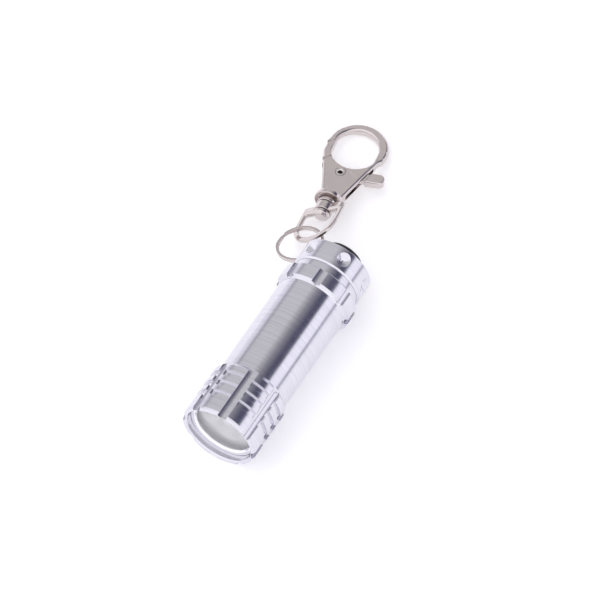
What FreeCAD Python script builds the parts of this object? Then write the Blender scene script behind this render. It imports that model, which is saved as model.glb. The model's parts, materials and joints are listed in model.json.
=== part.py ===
"""Keychain torch: turned aluminium torch, split ring, swivel eye and lobster clasp.

The torch lies on its side. +Y runs along its axis from the front rim to the tail, +Z is up,
and the origin is on the axis at the front rim. All sizes are in millimetres.
"""
import FreeCAD, Part
import os
import re
import Sketcher

from FreeCAD import Placement, Rotation, Vector

X_AXIS = Vector(1, 0, 0)
Y_AXIS = Vector(0, 1, 0)
Z_AXIS = Vector(0, 0, 1)
ORIGIN = Vector(0, 0, 0)

SIZES = [
    # head, barrel and collar: one turned piece
    ("head_radius", 10.0, "head, outside radius"),
    ("head_length", 14.4, "head, length at full radius"),
    ("head_taper", 1.2, "head, length of the rear taper"),
    ("rim_bevel", 0.3, "front rim, radial width of the outer bevel"),
    ("rim_bevel_length", 0.8, "front rim, length of the outer bevel"),
    ("rim_inner_radius", 9.05, "front rim, inside radius at the mouth"),
    ("rim_inner_bevel", 0.35, "front rim, length of the inner bevel"),
    ("head_bore_radius", 8.7, "head, bore radius"),
    ("head_bore_depth", 13.6, "head, depth of the bore to its seat"),
    ("band_count", 3, "grip bands, count"),
    ("band_start", 4.7, "first grip band, distance behind the rim"),
    ("band_pitch", 3.1, "grip bands, pitch"),
    ("band_width", 1.65, "grip bands, width"),
    ("band_depth", 0.6, "grip bands, depth"),
    ("barrel_radius", 9.0, "barrel, outside radius"),
    ("barrel_length", 28.0, "barrel, length"),
    ("collar_radius", 10.0, "collar, outside radius"),
    ("collar_length", 3.5, "collar, length at full radius"),
    ("collar_bevel", 0.7, "collar, length of the front bevel"),
    ("collar_rear_bevel", 0.45, "collar, rear bevel"),
    ("neck_radius", 8.55, "neck, radius"),
    ("neck_length", 2.3, "neck, length"),
    ("spigot_radius", 7.25, "threaded spigot, radius over the thread"),
    ("spigot_length", 2.7, "threaded spigot, length"),
    ("chamber_radius", 6.55, "battery chamber, bore radius"),
    ("flute_count", 8, "flutes along head and collar, count"),
    ("flute_width", 2.3, "flutes, width"),
    ("flute_depth", 0.68, "flutes, depth"),
    ("flute_angle", 6.3, "flutes, turn of the first one about the axis, degrees"),
    # optics
    ("bezel_set_back", 1.95, "lens bezel, set back from the rim"),
    ("bezel_thickness", 0.85, "lens bezel, thickness"),
    ("bezel_window", 7.3, "lens bezel, window radius"),
    ("seat_gap", 0.05, "radial gap of a piece seated in a bore"),
    ("lens_thickness", 1.2, "lens, thickness"),
    ("lens_seal_width", 0.9, "lens seal, radial width"),
    ("lens_seal_thickness", 0.8, "lens seal, thickness"),
    ("led_radius", 2.45, "light-emitting diode, radius"),
    ("led_circle", 4.55, "circle of diodes, radius"),
    ("led_count", 5, "circle of diodes, count"),
    ("led_length", 8.2, "diode, length from base to tip"),
    ("led_gap", 0.1, "radial gap between a diode and its hole"),
    ("lead_radius", 0.25, "diode lead, radius"),
    ("lead_spread", 1.27, "diode leads, distance from the diode's axis"),
    ("lead_length", 1.5, "diode lead, length below the diode"),
    ("lead_root", 0.5, "diode lead, length inside the diode"),
    ("lead_gap", 0.05, "radial gap round a lead in the board"),
    ("cup_flare", 0.5, "diode holder, flare of a cup's mouth beyond its hole"),
    ("cup_depth", 1.0, "diode holder, depth of the conical cups"),
    ("board_thickness", 1.0, "circuit board, thickness"),
    # battery pack
    ("spring_wire", 0.25, "contact springs, wire radius"),
    ("front_spring_radius", 2.6, "front contact spring, coil radius"),
    ("front_spring_length", 3.2, "front contact spring, length"),
    ("sleeve_radius", 6.45, "battery sleeve, outside radius"),
    ("sleeve_bore", 5.9, "battery sleeve, bore radius"),
    ("sleeve_front_wall", 1.0, "battery sleeve, front wall"),
    ("sleeve_window", 3.6, "battery sleeve, radius of the hole in the front wall"),
    ("sleeve_overrun", 0.8, "battery sleeve, length beyond the last cell"),
    ("contact_thickness", 0.4, "metal contacts, thickness"),
    ("cell_radius", 5.8, "button cell, radius"),
    ("cell_height", 5.4, "button cell, height"),
    ("cell_cap_radius", 5.0, "button cell, radius of the raised cap"),
    ("cell_cap_height", 0.5, "button cell, height of the raised cap"),
    ("cell_count", 4, "button cells, count"),
    ("slip", 0.02, "axial gap between stacked pieces"),
    # tail cap, switch and button
    ("cap_radius", 9.02, "tail cap, radius"),
    ("cap_length", 6.0, "tail cap, length"),
    ("cap_bevel", 0.4, "tail cap, front edge bevel"),
    ("cap_rear_bevel", 0.15, "tail cap, rear edge bevel"),
    ("cap_wall", 2.2, "tail cap, end wall"),
    ("cap_bore_radius", 7.3, "tail cap, bore radius over the thread"),
    ("button_hole_radius", 5.1, "tail cap, radius of the button's hole"),
    ("dimple_count", 6, "dimples round the cap, count"),
    ("dimple_radius", 1.97, "dimple, radius at the surface"),
    ("dimple_depth", 1.2, "dimple, depth of the drill point"),
    ("dimple_set_back", 2.8, "dimple, distance from the cap's rear face"),
    ("dimple_angle", 170.5, "dimple that the ring goes through, turn about the axis, degrees"),
    ("ring_hole_radius", 0.95, "ring hole, radius"),
    ("ring_hole_slant", 35.0, "ring hole, angle from the torch axis, degrees"),
    ("ring_hole_exit", 6.9, "ring hole, radius at which it leaves the rear face"),
    ("seal_depth", 0.3, "cap seal, depth of its groove in the spigot"),
    ("seal_width", 0.8, "cap seal, width"),
    ("seal_set_back", 0.4, "cap seal, distance behind the cap's front edge"),
    ("seal_gap", 0.03, "cap seal, gap to its groove and to the cap"),
    ("button_radius", 4.95, "button, radius"),
    ("button_height", 3.2, "button, height above the cap"),
    ("button_edge", 1.1, "button, rounding of its edge"),
    ("button_flange_radius", 5.65, "button, flange radius"),
    ("button_flange", 0.9, "button, flange thickness"),
    ("button_bore", 3.4, "button, radius of its hollow"),
    ("button_roof", 1.6, "button, thickness over its hollow"),
    ("button_travel", 1.2, "button, travel"),
    ("stop_gap", 0.05, "axial gap between a moving piece and its stop"),
    ("housing_flange_radius", 7.2, "switch housing, flange radius"),
    ("housing_radius", 6.4, "switch housing, cup radius"),
    ("housing_bore", 5.8, "switch housing, cup bore radius"),
    ("housing_length", 8.0, "switch housing, length of the cup below its flange"),
    ("housing_web", 1.0, "switch housing, web that guides the plunger"),
    ("return_spring_length", 2.6, "return spring, length at rest"),
    ("plunger_radius", 2.0, "plunger, radius"),
    ("plunger_gap", 0.08, "plunger, radial running gap in its guide"),
    ("return_spring_radius", 4.3, "return spring, coil radius"),
    ("return_spring_wire", 0.28, "return spring, wire radius"),
    ("plate_radius", 4.6, "moving contact plate, radius"),
    ("plate_gap", 0.08, "gap left between contact plate and terminal at full travel"),
    ("terminal_thickness", 0.6, "fixed switch terminal, thickness"),
    ("tail_spring_radius", 3.2, "tail contact spring, coil radius"),
    # split ring
    ("ring_radius", 5.6, "split ring, mean radius"),
    ("ring_width", 0.75, "split ring, radial width of the strip"),
    ("ring_thickness", 1.0, "split ring, thickness of both coils"),
    ("ring_groove", 0.12, "split ring, depth of the groove between the coils"),
    ("ring_seat", 1.3, "split ring, depth of its seat in the hole from the rear face"),
    ("ring_droop", 10.6, "split ring, droop below the hole's radial plane, degrees"),
    # chain: swivel eye, post and clasp
    ("chain_heading", 98.6, "clasp axis, heading from +X, degrees"),
    ("chain_pitch", 8.8, "clasp axis, downward pitch, degrees"),
    ("eye_reach", 12.2, "eye's crossbar, distance from the ring's centre along the clasp axis"),
    ("eye_side", 1.31, "eye's crossbar, sideways distance from the ring's centre"),
    ("eye_rise", 0.56, "eye's crossbar, height over the ring's centre"),
    ("eye_roll", 38.5, "eye, turn about the clasp axis, degrees"),
    ("eye_half_width", 6.45, "eye, half of its width"),
    ("eye_leg", 4.8, "eye, length of its straight legs"),
    ("eye_strap", 1.4, "eye, width of its strap"),
    ("eye_thickness", 1.0, "eye, thickness of its strap"),
    ("crossbar_width", 2.4, "eye, crossbar width along the clasp axis"),
    ("crossbar_thickness", 1.6, "eye, crossbar thickness"),
    ("boss_radius", 2.3, "eye, radius of the boss round the post"),
    ("post_radius", 1.2, "post, shank radius"),
    ("post_gap", 0.08, "post, radial running gap in the eye"),
    ("post_end_gap", 0.15, "post, end gap either side of the eye"),
    ("post_head_radius", 2.05, "post, radius of the riveted head"),
    ("post_head_height", 1.3, "post, height of the riveted head"),
    ("post_collar_radius", 2.0, "post, collar radius"),
    ("post_collar_length", 1.35, "post, collar length"),
    ("flange_radius", 3.6, "post, flange radius"),
    ("flange_thickness", 1.1, "post, flange thickness"),
    ("tenon_length", 1.6, "post, length of the tenon in the clasp"),
    ("clasp_thickness", 3.0, "clasp, body thickness"),
    ("hook_thickness", 2.3, "clasp, hook thickness"),
    ("clasp_left", 2.55, "clasp, half width of its base on the gate side"),
    ("clasp_right", 2.95, "clasp, half width of its base on the thumb side"),
    ("clasp_left_slant", 18.6, "clasp, slant of the gate side, degrees"),
    ("clasp_right_slant", 14.7, "clasp, slant of the thumb side, degrees"),
    ("clasp_shoulder", 13.6, "clasp, length of the slanted sides"),
    ("shoulder_top", 16.5, "clasp, end of the straight edge on the gate side"),
    ("hook_radius", 7.25, "clasp, outside radius of the hook"),
    ("hook_side", 0.4, "clasp, hook's centre, sideways"),
    ("hook_centre", 17.8, "clasp, hook's centre, along the clasp axis from the flange"),
    ("loop_radius", 5.3, "clasp loop, radius of its round ends"),
    ("loop_side", 0.15, "clasp loop, centre, sideways"),
    ("loop_low", 15.6, "clasp loop, centre of its lower end from the flange"),
    ("loop_high", 17.8, "clasp loop, centre of its upper end from the flange"),
    ("pivot_side", -0.5, "gate pivot, sideways towards the thumb side"),
    ("pivot_along", 8.4, "gate pivot, distance from the flange"),
    ("pivot_clear", 5.8, "gate, radius about the pivot where the body ends"),
    ("gate_gap", 0.15, "gate, gap to the body all round"),
    ("gate_reach", 10.67, "gate, distance of its nose from the pivot"),
    ("gate_start", 9.0, "gate, distance of its lowest point from the flange"),
    ("gate_thickness", 2.3, "gate, thickness of arm and thumb tab"),
    ("slot_width", 1.5, "clasp slot, width"),
    ("slot_start", 2.2, "clasp slot, distance from the flange"),
    ("slot_end", 13.2, "clasp slot, end from the flange"),
    ("web_gap", 0.1, "gate web, gap to each side of the slot"),
    ("hub_radius", 1.85, "gate, hub radius"),
    ("web_width", 2.5, "gate, width of its web arms"),
    ("gate_arm_angle", 141.6, "gate, direction of its arm from the pivot, degrees"),
    ("tab_angle", 12.5, "gate, direction of its thumb tab from the pivot, degrees"),
    ("tab_start", 7.3, "thumb tab, distance of its inner end from the pivot"),
    ("tab_end", 10.85, "thumb tab, distance of its tip from the pivot"),
    ("tab_width", 3.1, "thumb tab, width"),
    ("rivet_radius", 1.2, "gate rivet, radius"),
    ("rivet_bore", 0.5, "gate rivet, bore radius"),
    ("rivet_gap", 0.05, "gate rivet, radial running gap in the gate"),
    ("rivet_proud", 0.12, "gate rivet, height above the clasp's faces"),
    ("gate_spring_radius", 0.5, "gate spring, coil radius"),
    ("gate_spring_wire", 0.14, "gate spring, wire radius"),
    ("gate_spring_side", 2.35, "gate spring, sideways place"),
]

# Derived stations along the torch axis, from the front rim.
STATIONS = {
    "BARREL_START": "head_length + head_taper",
    "COLLAR_START": "head_length + head_taper + barrel_length",
}
STATIONS["COLLAR_FACE"] = STATIONS["COLLAR_START"] + " + collar_bevel"
STATIONS["NECK_START"] = STATIONS["COLLAR_FACE"] + " + collar_length + collar_rear_bevel"
STATIONS["CAP_START"] = STATIONS["NECK_START"] + " + neck_length"
STATIONS["CAP_END"] = STATIONS["CAP_START"] + " + cap_length"
STATIONS["WALL_INNER"] = STATIONS["CAP_END"] + " - cap_wall"
STATIONS["SPIGOT_END"] = STATIONS["CAP_START"] + " + spigot_length"
STATIONS["LENS_FRONT"] = "bezel_set_back + bezel_thickness"
STATIONS["LENS_REAR"] = "bezel_set_back + bezel_thickness + lens_thickness"
STATIONS["SEAL_REAR"] = STATIONS["LENS_REAR"] + " + lens_seal_thickness"
STATIONS["BOARD_FRONT"] = "head_bore_depth - board_thickness"
STATIONS["SLEEVE_FRONT"] = "head_bore_depth + front_spring_length"
STATIONS["CELLS_FRONT"] = STATIONS["SLEEVE_FRONT"] + " + sleeve_front_wall + contact_thickness"
STATIONS["CELLS_REAR"] = STATIONS["CELLS_FRONT"] + " + cell_count * (cell_height + slip)"
STATIONS["HOUSING_SEAT"] = STATIONS["SPIGOT_END"] + " + slip"
STATIONS["HOUSING_FRONT"] = STATIONS["HOUSING_SEAT"] + " - housing_length"
STATIONS["FLANGE_REAR"] = STATIONS["WALL_INNER"] + " - stop_gap"
STATIONS["FLANGE_FRONT"] = STATIONS["FLANGE_REAR"] + " - button_flange"
STATIONS["WEB_REAR"] = STATIONS["FLANGE_FRONT"] + " - return_spring_length"
STATIONS["BUTTON_TOP"] = STATIONS["CAP_END"] + " + button_height"
STATIONS["PLATE_REAR"] = (STATIONS["HOUSING_FRONT"]
                          + " + terminal_thickness + button_travel + plate_gap"
                            " + contact_thickness")

doc = FreeCAD.newDocument("keychain_torch")
sheet = doc.addObject("Spreadsheet::Sheet", "Sizes")
for row, (alias, size, meaning) in enumerate(SIZES, start=1):
    sheet.set(f"A{row}", meaning)
    sheet.set(f"B{row}", str(size))
    sheet.setAlias(f"B{row}", alias)
doc.recompute()

WORD = re.compile(r"[a-z][a-z_]+(?![a-z_]*\()")
SUB_PARTS = []


def spell(formula):
    """Write a formula of size names and station names out for the expression engine."""
    text = str(formula)
    for name in sorted(STATIONS, key=len, reverse=True):
        text = re.sub(rf"\b{name}\b", "(" + STATIONS[name] + ")", text)
    return WORD.sub(r"Sizes.\g<0>", text)


def number(formula):
    """Work a formula out from the sheet."""
    return float(sheet.evalExpression(spell(formula)))


def bind(obj, **formulas):
    """Tie properties of an object to formulas; z_place is its place along its own Z."""
    for prop, formula in formulas.items():
        path = {"x_place": "Placement.Base.x", "y_place": "Placement.Base.y",
                "z_place": "Placement.Base.z"}.get(prop, prop)
        obj.setExpression(path, spell(formula))
    return obj


def cylinder(radius, height, z="0", x="0", y="0"):
    """An upright cylinder bound to its formulas."""
    obj = doc.addObject("Part::Cylinder", "Cylinder")
    return bind(obj, Radius=radius, Height=height, x_place=x, y_place=y, z_place=z)


def cone(low_radius, high_radius, height, z="0", x="0", y="0"):
    """An upright cone bound to its formulas."""
    obj = doc.addObject("Part::Cone", "Cone")
    return bind(obj, Radius1=low_radius, Radius2=high_radius, Height=height,
                x_place=x, y_place=y, z_place=z)


def box(length, width, height, x="0", y="0", z="0"):
    """A box from its low corner, bound to its formulas."""
    obj = doc.addObject("Part::Box", "Box")
    return bind(obj, Length=length, Width=width, Height=height, x_place=x, y_place=y, z_place=z)


def fuse(*pieces):
    """Join pieces into one solid."""
    obj = doc.addObject("Part::MultiFuse", "Fuse")
    obj.Shapes = list(pieces)
    obj.Refine = True
    return obj


def cut(base, *tools):
    """Cut tools from a piece."""
    obj = doc.addObject("Part::Cut", "Cut")
    obj.Base = base
    obj.Tool = tools[0] if len(tools) == 1 else fuse(*tools)
    return obj


def common(first, second):
    """Keep what two pieces share."""
    obj = doc.addObject("Part::Common", "Common")
    obj.Base = first
    obj.Tool = second
    return obj


def clear(piece):
    """Free a primitive's place from its formulas, so that it can be set down elsewhere."""
    for axis in ("x", "y", "z"):
        piece.setExpression(f"Placement.Base.{axis}", None)
    return piece


def set_down(piece, place):
    """Give a tool or a piece of a boolean a placement of its own."""
    piece.Placement = place
    return piece


def origin_plane(body, role):
    """One of a body's own origin planes or axes, by its role."""
    return next(f for f in body.Origin.OriginFeatures if f.Role == role)


def outline(body, name, role, corners):
    """A closed outline of straight edges in a body, each corner tied to two formulas."""
    sketch = body.newObject("Sketcher::SketchObject", name)
    sketch.AttachmentSupport = [(origin_plane(body, role), "")]
    sketch.MapMode = "FlatFace"
    points = [Vector(number(u), number(v), 0) for u, v in corners]
    count = len(points)
    for index in range(count):
        sketch.addGeometry(Part.LineSegment(points[index], points[(index + 1) % count]))
    for index in range(count):
        sketch.addConstraint(Sketcher.Constraint("Coincident", index, 2, (index + 1) % count, 1))
    for index, corner in enumerate(corners):
        for kind, formula, rest_line in zip(("DistanceX", "DistanceY"), corner, (-2, -1)):
            if abs(number(formula)) < 1e-9:
                sketch.addConstraint(Sketcher.Constraint("PointOnObject", index, 1, rest_line))
                continue
            place = Sketcher.Constraint(kind, -1, 1, index, 1, number(formula))
            label = sketch.addConstraint(place)
            sketch.setExpression(f"Constraints[{label}]", spell(formula))
    return sketch


def turned(corners):
    """A turned piece about its own Z axis; corners are (radius, station) formulas."""
    body = doc.addObject("PartDesign::Body", "Turned")
    sketch = outline(body, "Profile", "XZ_Plane", corners)
    spin = body.newObject("PartDesign::Revolution", "Spin")
    spin.Profile = sketch
    spin.ReferenceAxis = (sketch, ["V_Axis"])
    spin.Angle = 360
    body.Tip = spin
    return body


def tube(outer, inner, low, high):
    """A plain turned ring between two stations."""
    return turned([(inner, low), (outer, low), (outer, high), (inner, high)])


def coil(radius, wire, low, high, turns, x="0", y="0"):
    """A coil spring with its wire swept along a helix, laid in half turns."""
    helix = doc.addObject("Part::Helix", "Helix")
    length = f"({high}) - ({low}) - 2 * {wire}"
    helix.SegmentLength = 0.5
    bind(helix, Radius=radius, Pitch=f"({length}) / {turns}", Height=length,
         x_place=x, y_place=y, z_place=f"({low}) + {wire}")
    half_turns = round(2 * turns)
    wire_end = doc.addObject("Part::Circle", "WireEnd")
    wire_end.Placement.Rotation = Rotation(X_AXIS, 90)
    bind(wire_end, Radius=wire, x_place=f"({x}) + {radius}", y_place=y,
         z_place=f"({low}) + {wire}")
    sweep = doc.addObject("Part::Sweep", "Coil")
    sweep.Sections = [wire_end]
    sweep.Spine = (helix, [f"Edge{index + 1}" for index in range(half_turns)])
    sweep.Solid = True
    sweep.Frenet = True
    return sweep


def keep(piece, label, place):
    """Register a finished sub-part under its name and set it in the model."""
    piece.Label = label
    piece.Placement = place
    SUB_PARTS.append(piece)
    return piece


# Frames. The torch frame has its Z along the torch axis and its Y pointing down.
ALONG = Rotation(X_AXIS, -90)
TORCH = Placement(ORIGIN, ALONG)
FLUTED = TORCH * Placement(ORIGIN, Rotation(Z_AXIS, number("flute_angle")))
CAP = TORCH * Placement(ORIGIN, Rotation(Z_AXIS, number("dimple_angle")))
RING_HOLE = Placement(Vector(number("ring_hole_exit"), 0, number("CAP_END")),
                      Rotation(Y_AXIS, -number("ring_hole_slant")))
SWING = CAP * RING_HOLE * Placement(Vector(0, 0, -number("ring_seat")),
                                    Rotation(Z_AXIS, -number("ring_droop")))
RING = SWING * Placement(Vector(number("ring_radius"), 0, 0), ALONG)
HEADING = (Rotation(Z_AXIS, number("chain_heading") - 90)
           * Rotation(X_AXIS, -number("chain_pitch")))
CHAIN = (Placement(RING.Base, HEADING)
         * Placement(Vector(number("eye_side"), number("eye_reach"), number("eye_rise")),
                     Rotation()))
EYE = CHAIN * Placement(ORIGIN, Rotation(Y_AXIS, -number("eye_roll")))
POST_TIP = "crossbar_width / 2 + post_end_gap + post_head_height"
POST = CHAIN * Placement(Vector(0, -number(POST_TIP), 0), ALONG)
FLANGE_MIDDLE = "crossbar_width / 2 + post_end_gap + post_collar_length + flange_thickness / 2"
CLASP = CHAIN * Placement(Vector(0, number(FLANGE_MIDDLE), 0), Rotation())


def make_body_tube():
    """Head with grip bands, barrel, collar, neck and spigot, fluted in one pass."""
    corners = [("rim_inner_radius", "0"), ("head_radius - rim_bevel", "0"),
               ("head_radius", "rim_bevel_length")]
    for band in range(int(number("band_count"))):
        front = f"band_start + {band} * band_pitch"
        rear = f"{front} + band_width"
        corners += [("head_radius", front), ("head_radius - band_depth", front),
                    ("head_radius - band_depth", rear), ("head_radius", rear)]
    seal_front = "CAP_START + seal_set_back"
    seal_rear = f"{seal_front} + seal_width"
    corners += [("head_radius", "head_length"), ("barrel_radius", "BARREL_START"),
                ("barrel_radius", "COLLAR_START"), ("collar_radius", "COLLAR_FACE"),
                ("collar_radius", "COLLAR_FACE + collar_length"),
                ("collar_radius - collar_rear_bevel", "NECK_START"),
                ("neck_radius", "NECK_START"), ("neck_radius", "CAP_START - slip"),
                ("spigot_radius", "CAP_START - slip"), ("spigot_radius", seal_front),
                ("spigot_radius - seal_depth", seal_front),
                ("spigot_radius - seal_depth", seal_rear), ("spigot_radius", seal_rear),
                ("spigot_radius", "SPIGOT_END"),
                ("chamber_radius", "SPIGOT_END"), ("chamber_radius", "head_bore_depth"),
                ("head_bore_radius", "head_bore_depth"),
                ("head_bore_radius", "rim_inner_bevel")]
    body = turned(corners)
    flute_floor = "head_radius - flute_depth"
    beyond = "head_radius + 1"
    sketch = outline(body, "Flute", "XY_Plane", [
        (flute_floor, "-flute_width / 2"), (beyond, "-flute_width / 2"),
        (beyond, "flute_width / 2"), (flute_floor, "flute_width / 2")])
    doc.recompute()
    solid = body.Shape.Volume
    flute = body.newObject("PartDesign::Pocket", "FlutePocket")
    flute.Profile = sketch
    flute.Type = "ThroughAll"
    flute.Reversed = True
    body.Tip = flute
    doc.recompute()
    if body.Shape.Volume > solid - 1:
        raise RuntimeError("the flute pocket cuts nothing")
    pattern = body.newObject("PartDesign::PolarPattern", "Flutes")
    pattern.Originals = [flute]
    pattern.Axis = (sketch, ["N_Axis"])
    pattern.Angle = 360
    pattern.setExpression("Occurrences", spell("flute_count"))
    body.Tip = pattern
    keep(body, "body_tube", FLUTED)


def diode_place(index):
    """Formulas of a diode's place on its circle."""
    angle = f"(90 + {index} * 360 / led_count)"
    return f"led_circle * cos{angle}", f"led_circle * sin{angle}"


def make_optics():
    """Bezel, lens, seal, diode holder, diodes and their board."""
    seated = "head_bore_radius - seat_gap"
    bezel = turned([("bezel_window", "bezel_set_back + bezel_thickness / 2"),
                    ("bezel_window + bezel_thickness / 2", "bezel_set_back"),
                    (seated, "bezel_set_back"), (seated, "LENS_FRONT"),
                    ("bezel_window", "LENS_FRONT")])
    keep(bezel, "front_bezel", TORCH)
    keep(turned([("0", "LENS_FRONT"), (seated, "LENS_FRONT"), (seated, "LENS_REAR"),
                 ("0", "LENS_REAR")]), "lens", TORCH)
    keep(tube(seated, f"{seated} - lens_seal_width", "LENS_REAR", "SEAL_REAR"),
         "lens_seal", TORCH)

    holder = turned([("0", "SEAL_REAR"), (seated, "SEAL_REAR"), (seated, "BOARD_FRONT"),
                     ("0", "BOARD_FRONT")])
    board = turned([("0", "BOARD_FRONT"), (seated, "BOARD_FRONT"),
                    (seated, "head_bore_depth"), ("0", "head_bore_depth")])
    holder_cuts = []
    board_cuts = []
    dome = "BOARD_FRONT - led_length + led_radius"
    for index in range(int(number("led_count"))):
        x, y = diode_place(index)
        hole = "led_radius + led_gap"
        holder_cuts += [cylinder(hole, "BOARD_FRONT", "0", x, y),
                        cone(f"{hole} + cup_flare", hole, "cup_depth", "SEAL_REAR", x, y)]
        ball = bind(doc.addObject("Part::Sphere", "Dome"), Radius="led_radius",
                    x_place=x, y_place=y, z_place=dome)
        pieces = [ball, cylinder("led_radius", f"BOARD_FRONT - ({dome})", dome, x, y)]
        for side in ("+", "-"):
            lead_y = f"{y} {side} lead_spread"
            pieces.append(cylinder("lead_radius", "lead_length + lead_root",
                                   "BOARD_FRONT - lead_root", x, lead_y))
            board_cuts.append(cylinder("lead_radius + lead_gap", "head_bore_depth", "0",
                                       x, lead_y))
        keep(fuse(*pieces), f"led_{index + 1}", TORCH)
    keep(cut(holder, *holder_cuts), "led_holder", TORCH)
    keep(cut(board, *board_cuts), "led_board", TORCH)


def make_battery_pack():
    """Front spring, sleeve, its contact and the button cells."""
    keep(coil("front_spring_radius", "spring_wire", "head_bore_depth", "SLEEVE_FRONT", 3),
         "front_spring", TORCH)
    wall = "SLEEVE_FRONT + sleeve_front_wall"
    sleeve_rear = "CELLS_REAR + sleeve_overrun"
    keep(turned([("sleeve_window", "SLEEVE_FRONT"), ("sleeve_radius", "SLEEVE_FRONT"),
                 ("sleeve_radius", sleeve_rear), ("sleeve_bore", sleeve_rear),
                 ("sleeve_bore", wall), ("sleeve_window", wall)]), "battery_sleeve", TORCH)
    nub = "sleeve_window - seat_gap"
    plate = "cell_radius - seat_gap"
    keep(turned([("0", "SLEEVE_FRONT"), (nub, "SLEEVE_FRONT"), (nub, wall), (plate, wall),
                 (plate, "CELLS_FRONT"), ("0", "CELLS_FRONT")]), "front_contact", TORCH)
    for index in range(int(number("cell_count"))):
        low = f"CELLS_FRONT + {index} * (cell_height + slip) + slip"
        shoulder = f"{low} + cell_height - cell_cap_height"
        high = f"{low} + cell_height"
        keep(turned([("0", low), ("cell_radius", low), ("cell_radius", shoulder),
                     ("cell_cap_radius", shoulder), ("cell_cap_radius", high), ("0", high)]),
             f"cell_{index + 1}", TORCH)


def make_tail_cap():
    """Screwed cap with its drilled dimples, one of them drilled through for the ring."""
    shell = turned([("cap_bore_radius", "CAP_START"), ("cap_radius - cap_bevel", "CAP_START"),
                    ("cap_radius", "CAP_START + cap_bevel"),
                    ("cap_radius", "CAP_END - cap_rear_bevel"),
                    ("cap_radius - cap_rear_bevel", "CAP_END"),
                    ("button_hole_radius", "CAP_END"), ("button_hole_radius", "WALL_INNER"),
                    ("cap_bore_radius", "WALL_INNER")])
    drills = []
    count = int(number("dimple_count"))
    for index in range(count):
        facing = Placement(ORIGIN, Rotation(Z_AXIS, index * 360 / count))
        for start, tool in (
                ("cap_radius - dimple_depth", cone("0", "dimple_radius", "dimple_depth")),
                ("cap_radius", cylinder("dimple_radius", "dimple_depth"))):
            spot = Vector(number(start), 0, number("CAP_END - dimple_set_back"))
            set_down(clear(tool), facing * Placement(spot, Rotation(Y_AXIS, 90)))
            drills.append(tool)
    reach = "2 * cap_length"
    ring_drill = clear(cylinder("ring_hole_radius", reach))
    set_down(ring_drill, RING_HOLE * Placement(Vector(0, 0, -number("cap_length")), Rotation()))
    keep(cut(shell, ring_drill, *drills), "tail_cap", CAP)
    groove = "spigot_radius - seal_depth"
    front = "CAP_START + seal_set_back"
    keep(tube("cap_bore_radius - seal_gap", f"{groove} + seal_gap", f"{front} + seal_gap",
              f"{front} + seal_width - seal_gap"), "cap_seal", TORCH)


def make_switch():
    """Switch housing, terminal, springs, plunger, contact plate and the rubber button."""
    guide = "plunger_radius + plunger_gap"
    web_front = "WEB_REAR - housing_web"
    keep(turned([("housing_bore", "HOUSING_FRONT"), ("housing_radius", "HOUSING_FRONT"),
                 ("housing_radius", "HOUSING_SEAT"), ("housing_flange_radius", "HOUSING_SEAT"),
                 ("housing_flange_radius", "WALL_INNER - slip"),
                 ("housing_bore", "WALL_INNER - slip"), ("housing_bore", "WEB_REAR"),
                 (guide, "WEB_REAR"), (guide, web_front), ("housing_bore", web_front)]),
         "switch_housing", TORCH)
    terminal = "housing_bore - seat_gap"
    terminal_rear = "HOUSING_FRONT + terminal_thickness"
    keep(turned([("0", "HOUSING_FRONT"), (terminal, "HOUSING_FRONT"),
                 (terminal, terminal_rear), ("0", terminal_rear)]), "switch_terminal", TORCH)
    keep(coil("tail_spring_radius", "spring_wire", "CELLS_REAR + slip", "HOUSING_FRONT", 4),
         "tail_spring", TORCH)
    keep(coil("return_spring_radius", "return_spring_wire", "WEB_REAR", "FLANGE_FRONT", 2.5),
         "plunger_spring", TORCH)
    plate_front = "PLATE_REAR - contact_thickness"
    keep(turned([("0", plate_front), ("plate_radius", plate_front),
                 ("plate_radius", "PLATE_REAR"), ("0", "PLATE_REAR")]), "contact_plate", TORCH)
    roof = "BUTTON_TOP - button_roof"
    keep(turned([("0", "PLATE_REAR"), ("plunger_radius", "PLATE_REAR"),
                 ("plunger_radius", roof), ("0", roof)]), "switch_plunger", TORCH)
    button = turned([("button_bore", "FLANGE_FRONT"), ("button_flange_radius", "FLANGE_FRONT"),
                     ("button_flange_radius", "FLANGE_REAR"), ("button_radius", "FLANGE_REAR"),
                     ("button_radius", "BUTTON_TOP"), ("0", "BUTTON_TOP"), ("0", roof),
                     ("button_bore", roof)])
    doc.recompute()
    crown = number("BUTTON_TOP")
    rim = next(index for index, edge in enumerate(button.Shape.Edges, start=1)
               if isinstance(edge.Curve, Part.Circle)
               and abs(edge.Curve.Radius - number("button_radius")) < 1e-6
               and abs(edge.Curve.Center.z - crown) < 1e-6)
    spin = button.Tip
    rounding = button.newObject("PartDesign::Fillet", "Rounding")
    rounding.Base = (spin, [f"Edge{rim}"])
    rounding.setExpression("Radius", spell("button_edge"))
    button.Tip = rounding
    keep(button, "rubber_button", TORCH)


def make_split_ring():
    """Two flat coils lying on each other, with a groove between them on both sides."""
    inner = "ring_radius - ring_width / 2"
    outer = "ring_radius + ring_width / 2"
    half = "ring_thickness / 2"
    groove = "2 * ring_groove"
    keep(turned([(inner, "0"), (outer, "0"), (outer, f"{half} - ring_groove"),
                 (f"{outer} - ring_groove", half), (outer, f"{half} + ring_groove"),
                 (outer, "ring_thickness"), (inner, "ring_thickness"),
                 (inner, f"{half} + ring_groove"), (f"{inner} + {groove} / 2", half),
                 (inner, f"{half} - ring_groove")]),
         "split_ring", RING * Placement(Vector(0, 0, -number(half)), Rotation()))


def stadium(radius, half_width, low, high, height):
    """A slab with a box from low to high and a round end at its low side, centred on Z = 0."""
    base = f"-({height}) / 2"
    return [cylinder(radius, height, base, "0", low),
            box(f"2 * ({half_width})", f"({high}) - ({low})", height,
                f"-({half_width})", low, base)]


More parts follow.
